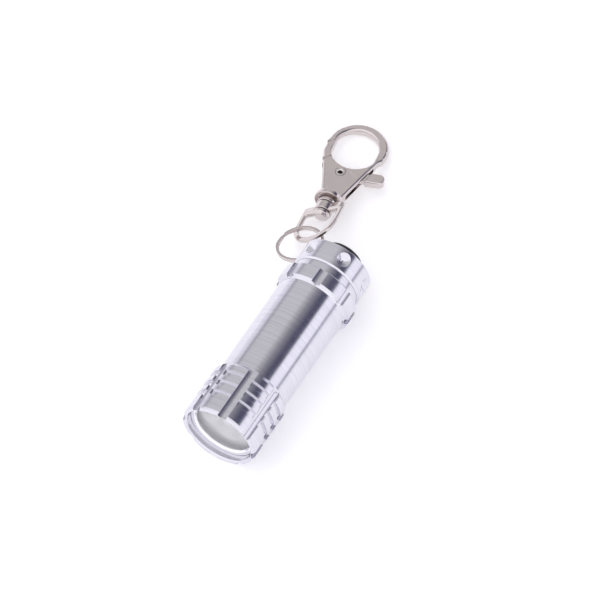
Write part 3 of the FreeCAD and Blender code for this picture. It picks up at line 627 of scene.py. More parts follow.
@dataclass
class BodyTube:
    """Head, barrel, collar, neck and spigot, turned from one bar and fluted.

    Attributes:
        place: Placement of the torch axis.
    """

    place: Matrix
    head_radius: float = 10.0
    barrel_radius: float = 9.0
    collar_radius: float = 10.0
    neck_radius: float = 8.55
    rim_inner: float = 9.05
    bore: float = 8.7
    bore_depth: float = 13.6
    chamber: float = 6.55
    flute_count: int = 8
    flute_width: float = 2.3
    flute_floor: float = 9.12
    flute_turn: float = 6.3
    flute_edge: float = 0.09
    flute_sag: float = 0.24
    land_steps: int = 14
    band_fronts: tuple[float, ...] = (4.7, 7.8, 10.9)
    band_width: float = 1.65
    band_depth: float = 0.6
    head_end: float = 14.4
    barrel_start: float = 15.6
    barrel_end: float = 43.6
    collar_start: float = 44.3
    collar_end: float = 47.8
    neck_start: float = 48.25
    neck_end: float = 50.53
    spigot_radius: float = 7.25
    spigot_end: float = 53.25

    def outside(self) -> list[tuple[float, float, float]]:
        """Outer corners from the front rim to the spigot's end, with their roundings.

        Returns:
            The corners, as (radius, station, rounding).
        """
        head = self.head_radius
        low = head - self.band_depth
        corners = [(self.rim_inner, 0.0, 0.06), (head - 0.3, 0.0, 0.1), (head, 0.8, 0.3)]
        for front in self.band_fronts:
            rear = front + self.band_width
            corners += [(head, front, 0.1), (low, front, 0.12), (low, rear, 0.12),
                        (head, rear, 0.1)]
        corners += [(head, self.head_end, 0.25), (self.barrel_radius, self.barrel_start, 0.15),
                    (self.barrel_radius, self.barrel_end, 0.15),
                    (self.collar_radius, self.collar_start, 0.2),
                    (self.collar_radius, self.collar_end, 0.12),
                    (self.collar_radius - 0.45, self.neck_start, 0.1),
                    (self.neck_radius, self.neck_start, 0.1),
                    (self.neck_radius, self.neck_end, 0.05),
                    (self.spigot_radius, self.neck_end, 0.0),
                    (self.spigot_radius, self.spigot_end, 0.1)]
        return corners

    def inside(self) -> list[tuple[float, float, float]]:
        """Inner corners from the spigot's end back to the mouth."""
        return [(self.chamber, self.spigot_end, 0.1), (self.chamber, self.bore_depth, 0.0),
                (self.bore, self.bore_depth, 0.0), (self.bore, 0.35, 0.08)]

    def section(self, radius: float, height: float) -> list[Vector]:
        """One ring of points, notched by the flutes where the radius reaches past their floor.

        Args:
            radius: Radius of the turned surface.
            height: Station along the axis.

        Returns:
            The ring's points, the same count at every station.
        """
        half = self.flute_width / 2.0
        edge = self.flute_edge
        lip = self.flute_floor + self.flute_sag
        wall = max(radius - edge, lip)
        floor = [(share * half, self.flute_floor + self.flute_sag * share * share)
                 for share in (-1.0, -0.7, -0.35, 0.0, 0.35, 0.7, 1.0)]
        across = [(-half - edge, radius), (-half, wall), *floor, (half, wall),
                  (half + edge, radius)]
        ring = []
        pitch = FULL_TURN / self.flute_count
        for index in range(self.flute_count):
            middle = math.radians(self.flute_turn) + index * pitch
            for side, reach in across:
                if reach < radius:
                    ring.append(self._turned(middle, reach, side, height))
                else:
                    turn = middle + math.asin(side / radius)
                    ring.append(Vector((radius * math.cos(turn), radius * math.sin(turn),
                                        height)))
            start = middle + math.asin((half + edge) / radius)
            end = middle + pitch - math.asin((half + edge) / radius)
            for step in range(1, self.land_steps):
                turn = start + (end - start) * step / self.land_steps
                ring.append(Vector((radius * math.cos(turn), radius * math.sin(turn), height)))
        return ring

    @staticmethod
    def _turned(middle: float, reach: float, side: float, height: float) -> Vector:
        """A point given by its reach and sideways offset in a flute's own direction."""
        return Vector((reach * math.cos(middle) - side * math.sin(middle),
                       reach * math.sin(middle) + side * math.cos(middle), height))

    def build(self) -> list[bpy.types.Object]:
        """Build and dress the tube.

        Returns:
            The finished pieces.
        """
        profile = rounded(self.outside() + self.inside(), steps=3)
        rings = [self.section(radius, height) for radius, height in profile]
        tube = ring_grid("torch_body", rings, self.place)
        return [settle(tube, "torch", TURNED_ALUMINIUM, "turned_aluminium", "body_tube")]


@dataclass
class FrontEnd:
    """Bezel, lens, diodes and what holds them.

    Attributes:
        place: Placement of the torch axis.
    """

    place: Matrix
    seat: float = 8.65
    window: float = 7.3
    set_back: float = 1.95
    bezel_depth: float = 0.85
    lip: float = 0.42
    lens_depth: float = 1.2
    diode_circle: float = 4.55
    diode_radius: float = 2.45
    diode_count: int = 5
    board_front: float = 12.6
    diode_length: float = 8.2

    def bezel(self) -> bpy.types.Object:
        """The bright ring that holds the lens.

        Returns:
            The finished ring.
        """
        rear = self.set_back + self.bezel_depth
        profile = rounded([(self.window, rear - self.lip, 0.06),
                           (self.window + self.lip, self.set_back, 0.1),
                           (self.seat, self.set_back, 0.1), (self.seat, rear, 0.05),
                           (self.window, rear, 0.05)])
        ring = lathe("lens_bezel", profile, self.place)
        return settle(ring, "torch", POLISHED_RIM, "polished_aluminium", "front_bezel")

    def lens(self) -> bpy.types.Object:
        """The clear disc, slightly domed on its front face.

        Returns:
            The finished disc.
        """
        front = self.set_back + self.bezel_depth
        rear = front + self.lens_depth
        dome = [(self.seat * share, front + 0.12 * share * share)
                for share in (0.0, 0.25, 0.5, 0.75, 0.97)]
        profile = dome + [(self.seat, front + 0.3), (self.seat, rear), (0.0, rear)]
        disc = lathe("lens_disc", profile, self.place)
        return settle(disc, "torch", CLEAR_LENS, "clear_lens", "lens")

    def diode_middle(self, index: int) -> POINT:
        """Where a diode stands on its circle."""
        turn = RIGHT_ANGLE + index * FULL_TURN / self.diode_count
        return self.diode_circle * math.cos(turn), self.diode_circle * math.sin(turn)

    def diode(self, index: int) -> list[bpy.types.Object]:
        """One round diode: its resin with a domed tip and base collar, and its core.

        Args:
            index: Number of the diode on its circle.

        Returns:
            The resin and the core.
        """
        x, y = self.diode_middle(index)
        spot = self.place @ Matrix.Translation((x * MM, y * MM, 0.0))
        base = self.board_front
        tip = base - self.diode_length
        radius = self.diode_radius
        dome = [(radius * math.sin(turn), tip + radius - radius * math.cos(turn))
                for turn in [RIGHT_ANGLE * step / 10 for step in range(11)]]
        profile = dome + [(radius, base - 0.1), (radius - 0.1, base), (0.0, base)]
        resin = lathe(f"diode_{index + 1}", profile, spot, around=48)
        settle(resin, "torch", DIODE_RESIN, "led_epoxy", f"led_{index + 1}")
        cup = rounded([(0.0, tip + 2.4, 0.0), (0.62, tip + 2.1, 0.1), (1.05, tip + 3.0, 0.15),
                       (0.85, tip + 4.2, 0.1), (0.0, tip + 4.2, 0.0)])
        core = lathe(f"diode_core_{index + 1}", cup, spot, around=32)
        settle(core, "torch", DIODE_CORE, "led_epoxy")
        return [resin, core]

    def build(self) -> list[bpy.types.Object]:
        """Build the front end.

        Returns:
            The finished pieces.
        """
        made = [self.bezel(), self.lens()]
        for index in range(self.diode_count):
            made += self.diode(index)
        dress_node("led_holder", REFLECTOR)
        dress_node("led_board", BOARD)
        dress_node("lens_seal", BLACK_RUBBER)
        return made


@dataclass
class TailEnd:
    """Screwed cap with its dimples, and the rubber button.

    Attributes:
        place: Placement of the torch axis.
    """

    place: Matrix
    radius: float = 9.02
    start: float = 50.55
    end: float = 56.55
    wall: float = 2.2
    bore: float = 7.3
    button_hole: float = 5.1
    dimple_count: int = 6
    dimple_turn: float = 170.5
    dimple_radius: float = 1.97
    dimple_depth: float = 1.2
    dimple_set_back: float = 2.8
    ring_hole_radius: float = 0.95
    ring_hole_slant: float = 35.0
    ring_hole_exit: float = 6.9
    button_radius: float = 4.95
    button_top: float = 59.75
    button_fillet: float = 0.55
    flange_radius: float = 5.65
    flange_front: float = 53.4
    flange_rear: float = 54.3
    hollow_radius: float = 3.4
    hollow_roof: float = 58.15

    def cap_turn(self) -> Matrix:
        """Placement of the cap, turned so that a dimple faces along local X."""
        return self.place @ Matrix.Rotation(math.radians(self.dimple_turn), 4, "Z")

    def drill(self, index: int) -> bpy.types.Object:
        """The drill that sinks one dimple.

        Args:
            index: Number of the dimple round the cap.

        Returns:
            The drill, to be cut out of the cap.
        """
        reach = 3.0
        slope = self.dimple_radius / self.dimple_depth
        profile = [(0.0, 0.0), (0.35, 0.06), (0.62, 0.22), (self.dimple_radius, self.dimple_depth),
                   (self.dimple_radius + 0.12, self.dimple_depth + 0.10 / slope),
                   (self.dimple_radius + 0.12, reach), (0.0, reach)]
        facing = Matrix.Rotation(index * FULL_TURN / self.dimple_count, 4, "Z")
        spot = Matrix.Translation(((self.radius - self.dimple_depth) * MM, 0.0,
                                   (self.end - self.dimple_set_back) * MM))
        upright = Matrix.Rotation(RIGHT_ANGLE, 4, "Y")
        return lathe(f"drill_{index}", profile, self.cap_turn() @ facing @ spot @ upright,
                     around=64)

    def ring_drill(self) -> bpy.types.Object:
        """The drill that opens the hole for the split ring.

        Returns:
            The drill, to be cut out of the cap.
        """
        spot = Matrix.Translation((self.ring_hole_exit * MM, 0.0, self.end * MM))
        slant = Matrix.Rotation(-math.radians(self.ring_hole_slant), 4, "Y")
        profile = [(0.0, -6.0), (self.ring_hole_radius, -6.0), (self.ring_hole_radius, 6.0),
                   (0.0, 6.0)]
        return lathe("ring_drill", profile, self.cap_turn() @ spot @ slant, around=32)

    def cap(self) -> bpy.types.Object:
        """The cap with its rounded edges, dimples and ring hole.

        Returns:
            The finished cap.
        """
        inner = self.end - self.wall
        profile = rounded([(self.bore, self.start, 0.05), (self.radius - 0.4, self.start, 0.12),
                           (self.radius, self.start + 0.4, 0.15),
                           (self.radius, self.end - 0.02, 0.22),
                           (self.button_hole, self.end, 0.2), (self.button_hole, inner, 0.05),
                           (self.bore, inner, 0.05)], steps=4)
        shell = lathe("tail_cap_shell", profile, self.cap_turn(), around=180)
        tools = [self.drill(index) for index in range(self.dimple_count)] + [self.ring_drill()]
        cut_with(shell, tools)
        return settle(shell, "cap", TURNED_ALUMINIUM, "turned_aluminium", "tail_cap")

    def button(self) -> bpy.types.Object:
        """The rubber button, crowned a little, with its flange under the cap's wall.

        Returns:
            The finished button.
        """
        top = self.button_top
        crown = [(0.0, top), (1.6, top - 0.02), (3.0, top - 0.07), (4.0, top - 0.13)]
        fillet = self.button_fillet
        edge = arc((self.button_radius - fillet, top - 0.16 - fillet), fillet,
                   RIGHT_ANGLE * 0.94, 0.0, 6)
        profile = crown + edge + rounded([
            (self.button_radius, 55.4, 0.1), (self.button_radius, self.flange_rear, 0.1),
            (self.flange_radius, self.flange_rear, 0.1),
            (self.flange_radius, self.flange_front, 0.1),
            (self.hollow_radius, self.flange_front, 0.05),
            (self.hollow_radius, self.hollow_roof, 0.2)])
        profile += [(0.0, self.hollow_roof)]
        knob = lathe("tail_button", profile, self.place, around=96)
        return settle(knob, "button", BLACK_RUBBER, "black_rubber", "rubber_button")

    def build(self) -> list[bpy.types.Object]:
        """Build the tail end.

        Returns:
            The finished pieces.
        """
        dress_node("cap_seal", BLACK_RUBBER)
        return [self.cap(), self.button()]


@dataclass
class SplitRing:
    """Flat strip wound twice round, with its two ends on opposite faces.

    Attributes:
        place: Placement of the ring's middle, Z along its axis.
    """

    place: Matrix
    radius: float = 5.6
    width: float = 0.75
    strip: float = 0.49
    edge: float = 0.13
    start: float = math.radians(205.0)
    cross_over: float = math.radians(46.0)
    steps: int = 260

    def height(self, turn: float) -> float:
        """Height of the strip's middle after a turn from its start.

        Args:
            turn: Angle wound so far, radians.

        Returns:
            The height, in millimetres.
        """
        low = FULL_TURN - self.cross_over
        share = min(max((turn - low) / (2.0 * self.cross_over), 0.0), 1.0)
        eased = share * share * (3.0 - 2.0 * share)
        return (eased - 0.5) * (self.strip + 0.02)

    def build(self) -> list[bpy.types.Object]:
        """Wind the strip.

        Returns:
            The finished piece.
        """
        half = self.width / 2.0
        thick = self.strip / 2.0
        section = rounded([(-half, -thick, self.edge), (half, -thick, self.edge),
                           (half, thick, self.edge), (-half, thick, self.edge)], steps=3)
        total = 2.0 * FULL_TURN - math.radians(6.0)
        rings = []
        for step in range(self.steps + 1):
            wound = total * step / self.steps
            turn = self.start + wound
            middle = self.height(wound)
            near_end = min(step, self.steps - step)
            taper = 1.0 if near_end >= 2 else 0.8 + 0.1 * near_end
            rings.append([Vector(((self.radius + u * taper) * math.cos(turn),
                                  (self.radius + u * taper) * math.sin(turn),
                                  middle + v * taper)) for u, v in section])
        coil = ring_grid("split_ring_coil", rings, self.place, closed_rings=False)
        return [settle(coil, "ring", NICKEL, "nickel_plate", "split_ring")]


@dataclass
class SwivelEye:
    """D-shaped eye: bent strap, crossbar and the boss that the post turns in.

    Attributes:
        place: Placement of the eye, Y along the post.
    """

    place: Matrix
    half_width: float = 6.45
    strap: float = 1.4
    leg: float = 4.8
    thickness: float = 1.0
    bar_half: float = 1.2
    bar_thickness: float = 1.6
    boss_radius: float = 2.3
    bore: float = 1.28
    corner: float = 1.5

    def strap_mesh(self) -> bpy.types.Mesh:
        """The bent strap, with rounded edges.

        Returns:
            The strap, in millimetres.
        """
        outer = self.half_width
        inner = outer - self.strap
        outline = arc((0.0, -self.leg), outer, math.pi, FULL_TURN, 40)
        outline += arc((outer - self.corner, self.bar_half - self.corner), self.corner,
                       0.0, RIGHT_ANGLE, 6)
        outline += arc((self.corner - outer, self.bar_half - self.corner), self.corner,
                       RIGHT_ANGLE, math.pi, 6)
        hole = arc((0.0, -self.leg), inner, math.pi, FULL_TURN, 40)
        hole += arc((inner - 0.8, -self.bar_half - 0.8), 0.8, 0.0, RIGHT_ANGLE, 5)
        hole += arc((0.8 - inner, -self.bar_half - 0.8), 0.8, RIGHT_ANGLE, math.pi, 5)
        return slab_mesh("strap", [outline, hole[::-1]], self.thickness, 0.36)

    def bar_mesh(self) -> bpy.types.Mesh:
        """The crossbar, thicker than the strap, with rounded ends.

        Returns:
            The crossbar, in millimetres.
        """
        reach = self.half_width - 0.35
        half = self.bar_half
        outline = rounded([(-reach, -half, 0.9), (reach, -half, 0.9), (reach, half, 0.9),
                           (-reach, half, 0.9)], steps=6)
        return slab_mesh("bar", [outline], self.bar_thickness, 0.5)

    def boss_mesh(self) -> bpy.types.Mesh:
        """The boss round the post, standing across the bar.

        Returns:
            The boss, in millimetres.
        """
        half = self.bar_half
        profile = rounded([(self.bore, -half, 0.1), (self.boss_radius, -half, 0.25),
                           (self.boss_radius, half, 0.25), (self.bore, half, 0.1)])
        work = bmesh.new()
        around = 64
        rows = [[work.verts.new((radius * math.cos(FULL_TURN * step / around), height,
                                 radius * math.sin(FULL_TURN * step / around)))
                 for step in range(around)] for radius, height in profile]
        for row, ring in enumerate(rows):
            following = rows[(row + 1) % len(rows)]
            for step in range(around):
                beside = (step + 1) % around
                work.faces.new((ring[step], ring[beside], following[beside], following[step]))
        mesh = bpy.data.meshes.new("boss")
        work.to_mesh(mesh)
        work.free()
        return mesh

    def build(self) -> list[bpy.types.Object]:
        """Build the eye.

        Returns:
            The finished piece.
        """
        mesh = merge("eye", [self.strap_mesh(), self.bar_mesh(), self.boss_mesh()])
        eye = finish_mesh("swivel_eye_strap", mesh, self.place)
        return [settle(eye, "eye", NICKEL, "nickel_plate", "swivel_eye")]


@dataclass
class SwivelPost:
    """Post with a riveted head, a collar and a dished flange.

    Attributes:
        place: Placement of the crossbar's middle, Z along the post.
    """

    place: Matrix
    tip: float = -2.65
    head_radius: float = 2.05
    shank: float = 1.2
    collar: float = 2.45
    recess: float = 3.1
    flange_radius: float = 3.6

    def build(self) -> list[bpy.types.Object]:
        """Turn the post.

        Returns:
            The finished piece.
        """
        tip = self.tip
        profile = rounded([
            (0.0, tip, 0.0), (1.05, tip, 0.4), (1.85, tip + 0.35, 0.5),
            (self.head_radius, tip + 0.85, 0.3), (self.head_radius, -1.35, 0.25),
            (self.shank, -1.35, 0.0), (self.shank, 1.35, 0.0), (self.collar, 1.35, 0.2),
            (self.collar, 3.3, 0.1), (self.recess, 3.3, 0.15), (self.recess + 0.1, 2.6, 0.12),
            (self.flange_radius, 2.6, 0.15), (self.flange_radius, 3.8, 0.3),
            (self.shank, 3.8, 0.0), (self.shank, 5.4, 0.0),
            (0.0, 5.4, 0.0)], steps=5)
        post = lathe("swivel_post_body", profile, self.place, around=72)
        return [settle(post, "clasp", NICKEL, "nickel_plate", "swivel_post")]


class Web(Enum):
    """The two arms of the gate's web, each with its reach and half width."""

    TAB = (8.4, 1.25)
    ARM = (6.9, 1.1)


@dataclass
class Clasp:
    """Lobster clasp: cast body with its hook, spring gate, thumb tab and rivet.

    Attributes:
        place: Placement of the flange's middle, Y along the clasp, Z out of its face.
    """

    place: Matrix
    base: float = 0.57
    left: float = 2.55
    right: float = 2.95
    left_slant: float = math.radians(18.6)
    right_slant: float = math.radians(14.7)
    shoulder: float = 13.6
    hook: POINT = (0.4, 18.05)
    hook_radius: float = 7.5
    loop_low: POINT = (0.15, 15.6)
    loop_high: POINT = (0.15, 17.95)
    loop_radius: float = 5.3
    pivot: POINT = (-0.5, 8.4)
    gate_low: float = 5.8
    gate_reach: float = 10.67
    gap: float = 0.07
    tab_half: float = 1.15
    crown: float = 0.0055
    left_rounding: float = 1.15
    right_rounding: float = 0.7
    hook_rounding: float = 0.95
    inner_rounding: float = 0.8
    joint_rounding: float = 0.08
    crisp: float = 0.22
    body_thickness: float = 3.0
    hook_share: float = 0.77
    slot_width: float = 1.5
    slot: tuple[float, float] = (2.2, 13.2)
    rivet_radius: float = 1.2
    rivet_hole: float = 0.52
    rivet_half: float = 1.62
    rivet_floor: float = 0.3
    hook_start: float = -0.30
    tab_turn: float = math.radians(12.5)
    arm_turn: float = math.radians(141.6)

    def left_edge(self, along: float) -> float:
        """Sideways place of the gate side's edge at a distance along the clasp."""
        rise = min(max(along - self.base, 0.0), self.shoulder)
        return -(self.left + rise * math.tan(self.left_slant))

    def right_edge(self, along: float) -> float:
        """Sideways place of the thumb side's edge at a distance along the clasp."""
        return self.right + (along - self.base) * math.tan(self.right_slant)

    def outer_left(self, along: float) -> float:
        """Sideways place of the outline on the gate side, straight edge and hook together.

        Args:
            along: Distance along the clasp.

        Returns:
            The sideways place, in millimetres.
        """
        if along < 16.0:
            return self.left_edge(along)
        share = min((along - 16.0) / 1.8, 1.0)
        eased = share * share * (3.0 - 2.0 * share)
        return self.left_edge(along) * (1.0 - eased) + (self.hook[0] - self.hook_radius) * eased

    def circle_meet(self, centre: POINT, radius: float, reach: float) -> POINT:
        """Where a circle meets the circle about the pivot, on the gate side.

        Args:
            centre: Centre of the circle.
            radius: Its radius.
            reach: Radius about the pivot.

        Returns:
            The meeting point.
        """
        apart = math.dist(centre, self.pivot)
        along = (reach * reach - radius * radius + apart * apart) / (2.0 * apart)
        off = math.sqrt(max(reach * reach - along * along, 0.0))
        ux = (centre[0] - self.pivot[0]) / apart
        uy = (centre[1] - self.pivot[1]) / apart
        return (self.pivot[0] + ux * along - uy * off, self.pivot[1] + uy * along + ux * off)

    def edge_meet(self, reach: float) -> POINT:
        """Where the gate side's outline meets the circle about the pivot.

        Args:
            reach: Radius about the pivot.

        Returns:
            The meeting point.
        """
        low, high = self.pivot[1], 19.0
        for _ in range(50):
            middle = (low + high) / 2.0
            if math.dist((self.outer_left(middle), middle), self.pivot) < reach:
                low = middle
            else:
                high = middle
        return self.outer_left(low), low

    def turn_of(self, point: POINT, about: POINT) -> float:
        """Angle of a point as seen from another one."""
        return math.atan2(point[1] - about[1], point[0] - about[0])

    def arc_between(self, about: POINT, first: POINT, last: POINT, clockwise: bool,
                    steps: int) -> list[POINT]:
        """Arc about a point from one point to another.

        Args:
            about: Centre of the arc.
            first: Where it starts.
            last: Where it ends.
            clockwise: Which way round it runs.
            steps: Straight pieces along it.

        Returns:
            The points of the arc.
        """
        start = self.turn_of(first, about)
        end = self.turn_of(last, about)
        if clockwise and end > start:
            end -= FULL_TURN
        if not clockwise and end < start:
            end += FULL_TURN
        return arc(about, math.dist(first, about), start, end, steps)

    def loop_edge(self, start: POINT, end: POINT) -> list[POINT]:
        """The loop's inner edge, counter-clockwise from the gate's foot to its nose.

        Args:
            start: Where the gate's foot meets the loop.
            end: Where its nose meets the loop.

        Returns:
            The points of the edge.
        """
        bottom = self.arc_between(self.loop_low, start,
                                  (self.loop_low[0] + self.loop_radius, self.loop_low[1]),
                                  False, 36)
        top = self.arc_between(self.loop_high,
                               (self.loop_high[0] + self.loop_radius, self.loop_high[1]), end,
                               False, 48)
        return bottom + top

    def half_at(self, across: float, along: float) -> float:
        """Half of the casting's thickness: crowned across, thinner at the hook.

        Args:
            across: Sideways place.
            along: Distance along the clasp.

        Returns:
            Half of the thickness there.
        """
        share = min(max((along - 10.5) / 6.0, 0.0), 1.0)
        eased = share * share * (3.0 - 2.0 * share)
        plate = self.body_thickness / 2.0 * (1.0 - (1.0 - self.hook_share) * eased)
        return plate * (1.0 - self.crown * min(abs(across), 4.5) ** 2)

    def edged(self, points: Sequence[POINT], edge: float) -> list[tuple[float, float, float]]:
        """Give every point of a stretch of outline the same edge rounding."""
        return [(u, v, edge) for u, v in points]

    def soften(self, stretch: list[tuple[float, float, float]],
               ) -> tuple[list[POINT], list[float]]:
        """Split an edged outline and let its roundings run into each other.

        Args:
            stretch: Points (u, v, rounding) of a closed outline.

        Returns:
            The outline and the rounding at each of its points.
        """
        outline = [(u, v) for u, v, _ in stretch]
        edges = []
        for here in outline:
            total, weight = 0.0, 0.0
            for u, v, edge in stretch:
                near = math.exp(-((u - here[0]) ** 2 + (v - here[1]) ** 2) / 0.35)
                total += edge * near
                weight += near
            edges.append(total / weight)
        return outline, [min(soft, hard + 0.25)
                         for soft, (_, _, hard) in zip(edges, stretch)]

    def body_outline(self) -> tuple[list[POINT], list[float]]:
        """Outline of body and hook, counter-clockwise from the base, with its roundings.

        Returns:
            The outline and the rounding at each of its points.
        """
        foot_in = self.circle_meet(self.loop_low, self.loop_radius, self.gate_low)
        foot_out = self.edge_meet(self.gate_low)
        nose_in = self.circle_meet(self.loop_high, self.loop_radius, self.gate_reach)
        nose_out = self.edge_meet(self.gate_reach)
        base = self.base
        points = self.edged([(self.left_edge(base) + 0.3, base), (-1.0, base), (1.0, base),
                             (self.right - 0.3, base)], 0.2)
        points += self.edged([(self.right_edge(step * 0.9 + base + 0.25),
                               step * 0.9 + base + 0.25) for step in range(17)],
                             self.right_rounding)
        points += self.edged(arc(self.hook, self.hook_radius, self.hook_start,
                                 math.pi * 0.985, 80),
                             self.hook_rounding)
        points += self.edged([nose_out], self.joint_rounding)
        points += self.edged(self.arc_between(self.pivot, nose_out, nose_in, True, 6)[1:-1],
                             self.joint_rounding)
        for u, v in self.loop_edge(foot_in, nose_in)[::-1]:
            share = min(max((v - 11.5) / 3.5, 0.0), 1.0)
            rounding = self.crisp + (self.inner_rounding - self.crisp) * share
            points.append((u, v, rounding))
        points += self.edged(self.arc_between(self.pivot, foot_in, foot_out, False, 8)[1:],
                             self.joint_rounding)
        steps = 14
        points += self.edged([(self.left_edge(along), along) for along in
                              [foot_out[1] + (base + 0.3 - foot_out[1]) * step / steps
                               for step in range(1, steps + 1)]], self.left_rounding)
        return self.soften(points)

    def arm_outline(self) -> tuple[list[POINT], list[float]]:
        """Outline of the gate's arm, between the foot and the nose, with its roundings.

        Returns:
            The outline and the rounding at each of its points.
        """
        low = self.gate_low + self.gap
        high = self.gate_reach - self.gap
        foot_in = self.circle_meet(self.loop_low, self.loop_radius, low)
        foot_out = self.edge_meet(low)
        nose_in = self.circle_meet(self.loop_high, self.loop_radius, high)
        nose_out = self.edge_meet(high)
        rise = nose_out[1] - foot_out[1]
        outer = [(self.outer_left(foot_out[1] + rise * step / 14), foot_out[1] + rise * step / 14)
                 for step in range(15)]
        points = self.edged(self.arc_between(self.pivot, foot_in, foot_out, False, 8)[:-1],
                            self.joint_rounding)
        points += self.edged(outer, self.left_rounding * 0.8)
        points += self.edged(self.arc_between(self.pivot, nose_out, nose_in, True, 6)[1:],
                             self.joint_rounding)
        points += self.edged(self.loop_edge_left(nose_in, foot_in)[:-1], 0.45)
        return self.soften(points[::-1])

    def loop_edge_left(self, nose: POINT, foot: POINT) -> list[POINT]:
        """The loop's edge on the gate side, from the nose down to the foot.

        Args:
            nose: Where the gate's nose meets the loop.
            foot: Where its foot meets the loop.

        Returns:
            The points of the edge.
        """
        points = []
        if nose[1] > self.loop_high[1]:
            points += self.arc_between(self.loop_high, nose,
                                       (self.loop_high[0] - self.loop_radius,
                                        self.loop_high[1]), False, 4)[1:]
        start = (self.loop_low[0] - self.loop_radius, self.loop_low[1])
        points += self.arc_between(self.loop_low, start, foot, False, 10)
        return points

    def disc(self, centre: POINT, radius: float, height: float, name: str,
             ) -> bpy.types.Object:
        """A round cutting tool across the plate.

        Args:
            centre: Middle of the disc.
            radius: Its radius.
            height: How far it reaches to either side.
            name: Name for the tool.

        Returns:
            The tool.
        """
        spot = self.place @ Matrix.Translation((centre[0] * MM, centre[1] * MM, 0.0))
        return lathe(name, [(0.0, -height), (radius, -height), (radius, height),
                            (0.0, height)], spot, around=48)

    def block(self, low: Vector, high: Vector, name: str) -> bpy.types.Object:
        """A box-shaped cutting tool.

        Args:
            low: Its lowest corner.
            high: Its highest corner.
            name: Name for the tool.

        Returns:
            The tool.
        """
        work = bmesh.new()
        bmesh.ops.create_cube(work, size=1.0)
        for vertex in work.verts:
            for axis in range(3):
                vertex.co[axis] = low[axis] if vertex.co[axis] < 0.0 else high[axis]
        mesh = bpy.data.meshes.new(name)
        work.to_mesh(mesh)
        work.free()
        return finish_mesh(name, mesh, self.place)

    def body(self) -> bpy.types.Object:
        """The cast body with its slot and rivet hole.

        Returns:
            The finished piece.
        """
        outline, edges = self.body_outline()
        mesh = rounded_plate("clasp_casting", outline, edges, self.half_at)
        piece = finish_mesh("clasp_casting", mesh, self.place)
        half = self.slot_width / 2.0
        slot = self.block(Vector((-20.0, self.slot[0], -half)),
                          Vector((20.0, self.slot[1], half)), "slot_cutter")
        cut_with(piece, [slot, self.disc(self.pivot, self.rivet_radius + 0.1, 4.0,
                                         "rivet_cutter")])
        return settle(piece, "clasp", NICKEL, "nickel_plate", "clasp_body")

    def tab_outline(self) -> tuple[list[POINT], list[float]]:
        """Outline of the thumb tab in the frame that points from the pivot.

        Returns:
            The outline and the rounding at each of its points.
        """
        points = rounded([(5.95, -1.55, 0.3), (10.85, -1.55, 1.5), (10.85, 1.55, 1.5),
                          (7.35, 1.55, 0.3)], steps=8)
        return points, [0.42] * len(points)

    def gate(self) -> bpy.types.Object:
        """The gate: arm, web, hub and thumb tab.

        Returns:
            The finished piece.
        """
        arm = rounded_plate("gate_arm", *self.arm_outline(), self.half_at)
        tab = rounded_plate("gate_tab", *self.tab_outline(),
                            lambda across, along: self.tab_half - 0.03 * along * along)
        web = slab_mesh("gate_web", [self.web_outline(Web.TAB)], 1.3, 0.12, steps=2)
        arm_web = slab_mesh("gate_arm_web", [self.web_outline(Web.ARM)], 1.28, 0.12, steps=2)
        pivot = Matrix.Translation((self.pivot[0], self.pivot[1], 0.0))
        tab.transform(pivot @ Matrix.Rotation(self.tab_turn, 4, "Z"))
        web.transform(pivot @ Matrix.Rotation(self.tab_turn, 4, "Z"))
        arm_web.transform(pivot @ Matrix.Rotation(self.arm_turn, 4, "Z"))
        mesh = merge("gate", [arm, tab, web, arm_web])
        piece = finish_mesh("clasp_gate", mesh, self.place)
        return settle(piece, "gate", NICKEL, "nickel_plate", "gate_lever")

    def web_outline(self, web: Web) -> list[POINT]:
        """Outline of one of the gate's web arms, in the frame that points from the pivot.

        Args:
            web: Which arm of the web.

        Returns:
            The points of the outline.
        """
        reach, half = web.value
        return rounded([(-1.3, -half, 0.8), (reach, -half, 0.2), (reach, half, 0.2),
                        (-1.3, half, 0.8)], steps=4)

    def rivet(self) -> bpy.types.Object:
        """The tubular rivet with its rolled rims, its bore faces painted near black as shade.

        Returns:
            The finished piece.
        """
        half = self.rivet_half
        hole, floor = self.rivet_hole, self.rivet_floor
        profile = rounded([(0.0, -floor, 0.0), (hole, -floor, 0.0), (hole, 0.25 - half, 0.1),
                           (0.8, -half, 0.12), (self.rivet_radius, -half, 0.14),
                           (self.rivet_radius, half, 0.14), (0.8, half, 0.12),
                           (hole, half - 0.25, 0.1), (hole, floor, 0.0), (0.0, floor, 0.0)])
        spot = self.place @ Matrix.Translation((self.pivot[0] * MM, self.pivot[1] * MM, 0.0))
        piece = lathe("gate_rivet_tube", profile, spot, around=48)
        settle(piece, "clasp", NICKEL, "nickel_plate", "gate_rivet")
        # The bore's faces get the near black painted shade, which stands in for the darkness deep
        # in the hole.
        piece.data.materials.append(HOLE_SHADE.material())
        middle = spot.translation
        axis = (spot.to_3x3() @ Vector((0.0, 0.0, 1.0))).normalized()
        for face in piece.data.polygons:
            away = face.center - middle
            if (away - axis * away.dot(axis)).length < (hole + 0.02) * MM:
                face.material_index = 1
        return piece

    def build(self) -> list[bpy.types.Object]:
        """Build the clasp.

        Returns:
            The finished pieces.
        """
        dress_node("gate_spring", BRIGHT_WIRE)
        return [self.body(), self.gate(), self.rivet()]


